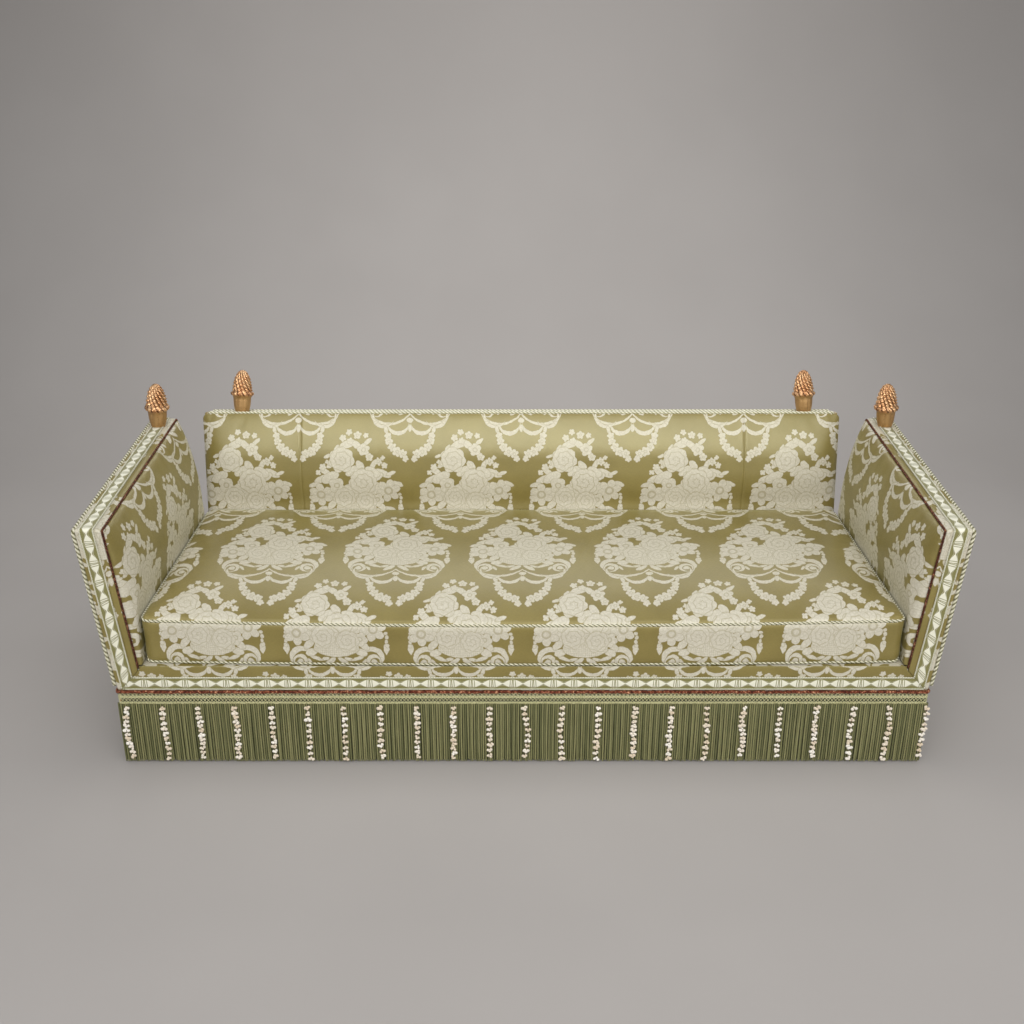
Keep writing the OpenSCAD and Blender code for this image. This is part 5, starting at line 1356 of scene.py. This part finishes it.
def make_finial(name, node, body, at, lean, slope):
    """Carved acorn: fluted cup, ring of beads at the collar, and beaded ridges that wind up the nut"""
    shares = np.array(PROFILE)
    t = np.concatenate([[0], np.cumsum(np.hypot(*np.diff(shares * [FINIAL_R, FINIAL_H], axis=0).T))])
    fine = np.linspace(0, t[-1], 150)
    r = np.interp(fine, t, shares[:, 0]) * FINIAL_R * CARVED
    z = np.interp(fine, t, shares[:, 1])
    around = 208
    phi = np.arange(around) * 2 * math.pi / around
    gz, gp = crossed(z, phi)
    gr = np.tile(r[:, None], (1, around))
    nut = smoothstep((gz - 0.5) / 0.03) * smoothstep((1.01 - gz) / 0.06)
    cup = smoothstep((0.37 - gz) / 0.05) * smoothstep(gz / 0.06)
    collar = np.exp(-((gz - 0.445) / 0.035) ** 4)
    winding = gp * RIDGES + RIDGE_TWIST * gz
    bead = 0.5 + 0.5 * np.cos(2 * math.pi * BEAD_ROWS * gz + 0.5 * winding + gp * (RIDGES % 2) / 2)
    ridge = np.maximum(0, 0.5 + 0.5 * np.cos(winding)) ** 0.7
    taper = 1.06 - 0.16 * np.clip((gz - 0.55) / 0.35, 0, 1)
    beads = np.sqrt(np.abs(np.cos(gp * 9)))
    flute = np.abs(np.cos(gp * 4)) ** 0.45
    gr = gr * (1 + nut * (taper - 1 + 0.21 * ridge * (0.35 + 0.65 * bead) - 0.10)
               + collar * (0.17 * beads - 0.09) + cup * (0.07 * flute - 0.09))
    points = zipped(gr * np.cos(gp), gr * np.sin(gp), gz * FINIAL_H * CARVED - 2.0)
    # Set on its seat: leaning in a little, and square to the edge that it stands on
    x, y, zz = points[..., 0], points[..., 1], points[..., 2]
    x, zz = x * math.cos(lean) + zz * math.sin(lean), -x * math.sin(lean) + zz * math.cos(lean)
    y, zz = y * math.cos(slope) - zz * math.sin(slope), y * math.sin(slope) + zz * math.cos(slope)
    points = zipped(x, y, zz) + np.asarray(at)
    skin = Skin()
    uv = zipped(np.tile(np.arange(around + 1) / around, (len(z), 1)), np.tile(z[:, None], (1, around + 1)))
    skin.grid(points, uv, wrap=True)
    skin.cap(points[0][::-1], points[0].mean(0))
    skin.cap(points[-1], points[-1].mean(0), (0, 1))
    dress(skin.build(name, gilt, weld=0.02), body, node)


def make_finials():
    slope = math.atan2(ARM_REAR_Z - ARM_FRONT_Z, ARM_Y1 - ARM_Y0)
    y = ARM_Y1 - 67
    for side, s in (("left", -1), ("right", 1)):
        # The right one stands further out in the photograph
        at = raked(s * (BACK_W / 2 - 125) + (12 if s > 0 else 0), BACK_PAD_T, BACK_H)
        make_finial(f"{side}_back_acorn", f"{side}_back_finial", "seat_frame", at, -s * math.radians(3.5), -RAKE)
        at = (s * (outer_x(top_z(y)) - ARM_T / 2), y, top_z(y) + BRAID_T)
        make_finial(f"{side}_arm_acorn", f"{side}_arm_finial", f"{side}_arm", at, -s * math.radians(4.0), slope)


# ---------------------------------------------------------------- seat inside

def make_deck():
    skin = Skin()
    angle = math.atan2(MITRE_RISE, ARM_T - MITRE_RISE * math.tan(SPLAY))
    gap = 5 / math.cos(angle)
    rear = back_plane_y(BACK_PAD_T, DECK_LOW_Z) - 0.3
    gy, gt = crossed(eased(0.3, rear, 16, 5, 30), eased(-1, 1, 0.012, 0.005, 0.03))

    def mitre_x(z):
        return FOOT_X - (z - FOOT_Z + gap) / math.tan(angle)

    near = np.minimum((1 - np.abs(gt)) * 1060, np.minimum(gy - 0.3, rear - gy))
    top = PLATFORM_Z - 1.6 * (1 - smoothstep(near / 30))
    tuck = 0.5 * np.sin(gt * 1060 / 55) * np.sin(gy / 55) * smoothstep(near / 60)
    face = zipped(gt * mitre_x(PLATFORM_Z - 0.5), gy, top - 0.6 + np.minimum(tuck, 0.5))
    closed_slab(skin, face, zipped(gt * mitre_x(DECK_LOW_Z), gy, DECK_LOW_Z),
                zipped(face[..., 0] / REPEAT, gy / REPEAT))
    # Its front edge, below the platform
    gz, gx = crossed(np.linspace(RAIL_TOP, DECK_LOW_Z, 8), np.linspace(-1050.7, 1050.7, 120))
    closed_slab(skin, zipped(gx, 0.4 + 0.5 * np.cos(math.pi * (gz - RAIL_TOP) / 49) ** 2, gz),
                zipped(gx, 30.0, gz), zipped(gx / REPEAT, gz / REPEAT))
    dress(skin.build("stuffed_deck", damask, weld=0.05, sharp=60), "seat_frame", "seat_deck")


def strap(skin, start, end):
    """Webbing strap with soft selvedges"""
    width, thick = 50.0, 1.5
    start, end = np.asarray(start, float), np.asarray(end, float)
    length = np.linalg.norm(end - start)
    along = (end - start) / length
    across = np.cross(along, [0, 0, 1.0])
    if np.linalg.norm(across) < 0.5:
        across = np.array([1.0, 0, 0])
    gs, gw = crossed(np.linspace(0, length, max(4, int(length / 24))),
                     np.array([-0.5, -0.47, -0.25, 0, 0.25, 0.47, 0.5]) * width)
    crown = np.cross(across, along) * (thick / 2 * (1 - 0.25 * (np.abs(gw) / width * 2) ** 6))[..., None]
    base = start + along * gs[..., None] + across * gw[..., None]
    closed_slab(skin, base + crown, base - crown, zipped(gw / 50, gs / 50))


def make_webbing():
    skin = Skin()
    pitch = (BASE_W - 2 * 231) / 6
    for s in (-35, 35):
        for k in range(7):
            x = (k - 3) * pitch + s
            strap(skin, (x, 6, FOOT_H - 0.8), (x, BASE_D - 6, FOOT_H - 0.8))
        for y in (BASE_D / 2 - 190 + s, BASE_D / 2 + 190 + s):
            strap(skin, (-RAIL_X + 6, y, FOOT_H - 2.4), (RAIL_X - 6, y, FOOT_H - 2.4))
    dress(skin.build("seat_straps", jute, weld=0.02), "seat_frame", "seat_webbing")
    skin = Skin()
    for x in np.arange(-6, 7) * 150.0:
        if abs(abs(x) - BACK_W / 6) > 54 and abs(x) < 1055 - 58 - 25:
            strap(skin, *(raked(x, BACK_PAD_T + 0.8, h) for h in (-98.0, BACK_TOP - 58)))
    dress(skin.build("back_straps", jute, weld=0.02), "seat_frame", "back_webbing")


# The dust cloth is cut out round the eight feet
FEET = [(x, y) for x in (-1091.0, -450.0, 450.0, 1091.0) for y in (40.0, BASE_D - 40.0)]
FOOT_HOLE, FOOT_BLOCK = 30.3, 28.0


def foot_lines(lines, centres):
    """Grid lines, redrawn near each foot so that a square block of them lies round its hole"""
    ends = (lines[0], lines[-1])
    clear = [v for v in lines if v in ends or all(abs(v - c) > FOOT_BLOCK + 6 for c in centres)]
    return np.unique(clear + [c + k * FOOT_BLOCK / 2 for c in centres for k in range(-2, 3)])


def make_under_cloths():
    for name, node, slot, material, wave, feet, rest in (
            ("hessian_sheet", "seat_hessian", "hessian", hessian, 0.25, [], "side_sills"),
            ("dust_cloth", "dust_cover", "black_lining", lining, 0.35, FEET, "front_seat_rail")):
        low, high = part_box(node)
        (x0, x1), (y0, y1) = (low.x / MM, high.x / MM), ((low.y - FRONT) / MM, (high.y - FRONT) / MM)
        mid = (low.z / MM + high.z / MM) / 2
        xs = foot_lines(spread(x0, x1, 14), {x for x, y in feet})
        ys = foot_lines(spread(y0, y1, 14), {y for x, y in feet})
        gx, gy = crossed(xs, ys)
        keep = np.ones((len(xs) - 1, len(ys) - 1), bool)
        rings = []
        for fx, fy in feet:
            dx, dy = gx - fx, gy - fy
            on_ring = np.isclose(np.maximum(np.abs(dx), np.abs(dy)), FOOT_BLOCK)
            pull = np.where(on_ring, FOOT_HOLE / np.hypot(dx, dy).clip(1), 1.0)
            gx, gy = fx + dx * pull, fy + dy * pull
            mid_x, mid_y = (xs[1:] + xs[:-1])[:, None] / 2 - fx, (ys[1:] + ys[:-1])[None, :] / 2 - fy
            keep &= np.maximum(np.abs(mid_x), np.abs(mid_y)) > FOOT_BLOCK
            row, col = np.nonzero(on_ring)
            turn = np.argsort(np.arctan2(dy[row, col], dx[row, col]))
            rings.append((row[turn], col[turn]))
        ripple = wave * wander(gx, 71, 0.03) * wander(gy, 72, 0.04)
        face, rear = zipped(gx, gy, mid + 0.45 + ripple), zipped(gx, gy, mid - 0.45 + ripple)
        skin = Skin()
        closed_slab(skin, face, rear, zipped(gx / REPEAT, gy / REPEAT), keep)
        for ring in rings:
            skin.grid(np.stack([rear[ring], face[ring]]), np.zeros((2, len(ring[0]) + 1, 2)), wrap=True)
        piece = skin.build(name, material, weld=0.02)
        dress(piece, "seat_frame", node)


def dress_cad_nodes():
    """CAD nodes whose shape is right keep it, and take a better material"""
    kinds = {
        "rail": beech, "stiles": beech, "sills": beech, "blocks": beech, "feet": walnut,
        "springs": steel, "hinge_leaves": brass, "pins": steel, "catches": steel, "ratchet": steel,
    }
    for name, piece in nodes.items():
        for word, material in kinds.items():
            if word in name:
                for slot in piece.material_slots:
                    slot.material = material


# In this order, since the cords and florets draw their random numbers one after another
for make in (make_cushion, make_piping, make_back_pad, make_back_cover, make_back_top):
    make()
for arm in ("left", "right"):
    for make in (make_arm_pad, make_arm_outside, make_arm_border, make_arm_braid, make_arm_cords):
        make(arm)
for make in (make_front_border, make_front_braid, make_base_cord, make_heading, make_fringes, make_florets,
             make_finials, make_deck, make_webbing, make_under_cloths, dress_cad_nodes):
    make()


# ---------------------------------------------------------------- stage, light and camera

def make_stage():
    s = Shade("studio_grey")
    place = s.object_place()
    base = s.mix(s.ramp(s.noise(place, 1.1, 3, 0.5), 0.3, 0.7), rgb(163, 158, 154), rgb(166, 161, 157))
    grey = s.finish(base, 0.9, s.bump(s.noise(place, 60, 2, 0.5), 0.05, 0.001), Specular_IOR_Level=0.2)
    profile = [(-30.0, 0.0), (1.8, 0.0)]
    profile += [(1.8 + 2.2 * math.sin(a), 2.2 - 2.2 * math.cos(a)) for a in np.linspace(0.1, math.pi / 2, 16)]
    profile += [(4.0, 9.0)]
    mesh = bpy.data.meshes.new("studio_cove")
    points = [(x, y, z) for y, z in profile for x in (-30.0, 30.0)]
    faces = [(2 * i, 2 * i + 1, 2 * i + 3, 2 * i + 2) for i in range(len(profile) - 1)]
    mesh.from_pydata(points, [], faces)
    mesh.materials.append(grey)
    mesh.shade_smooth()
    cove = bpy.data.objects.new("studio_cove", mesh)
    bpy.context.scene.collection.objects.link(cove)


def soft_box(where, place, aim, size, watts, spread):
    name = where + "_soft_box"
    light = bpy.data.lights.new(name, "AREA")
    light.shape, light.size, light.size_y, light.energy = "RECTANGLE", size[0], size[1], watts
    light.spread = math.radians(spread)
    piece = bpy.data.objects.new(name, light)
    piece.location = place
    piece.visible_camera = False
    piece.rotation_euler = (Vector(aim) - Vector(place)).to_track_quat("-Z", "Y").to_euler()
    bpy.context.scene.collection.objects.link(piece)


make_stage()
soft_box("overhead", (0.0, 0.1, 3.9), (0, 0, 0.4), (4.0, 1.6), 17, 120)
soft_box("front", (0.0, -3.9, 3.3), (0, 0.2, 0.35), (4.2, 1.4), 46.5, 95)
soft_box("front_left", (-2.8, -3.4, 1.9), (0, 0, 0.4), (1.8, 1.8), 10, 110)
soft_box("front_right", (2.8, -3.4, 1.9), (0, 0, 0.4), (1.8, 1.8), 15, 110)
soft_box("rear", (0.0, 3.2, 2.6), (0, 0.0, 0.6), (4.4, 0.7), 12, 120)
soft_box("backdrop", (0.0, 0.6, 3.4), (0, 3.6, 1.2), (3.0, 1.0), 38, 130)

world = bpy.data.worlds.new("studio_air")
bpy.context.scene.world = world
world.use_nodes = True
air = world.node_tree.nodes["Background"].inputs
air["Color"].default_value = (0.92, 0.94, 0.97, 1)
air["Strength"].default_value = 0.44

# Camera found from twenty-four corners of the sofa in the photograph
PIXELS, FOCAL_PIXELS, SENSOR = 1024, 1153.3, 36.0
PITCH_DOWN, CAMERA_AHEAD, CAMERA_HIGH, CAMERA_X = math.radians(22.64), 2.783, 1.940, -0.0306
camera_data = bpy.data.cameras.new("photo_camera")
camera_data.sensor_width = SENSOR
camera_data.lens = FOCAL_PIXELS * SENSOR / PIXELS
camera = bpy.data.objects.new("photo_camera", camera_data)
bpy.context.scene.collection.objects.link(camera)
camera.location = (CAMERA_X, FRONT + ARM_Y0 * MM - CAMERA_AHEAD, CAMERA_HIGH)
camera.rotation_euler = (math.pi / 2 - PITCH_DOWN, 0, 0)
bpy.context.scene.camera = camera
bpy.context.scene.view_settings.view_transform = "Standard"
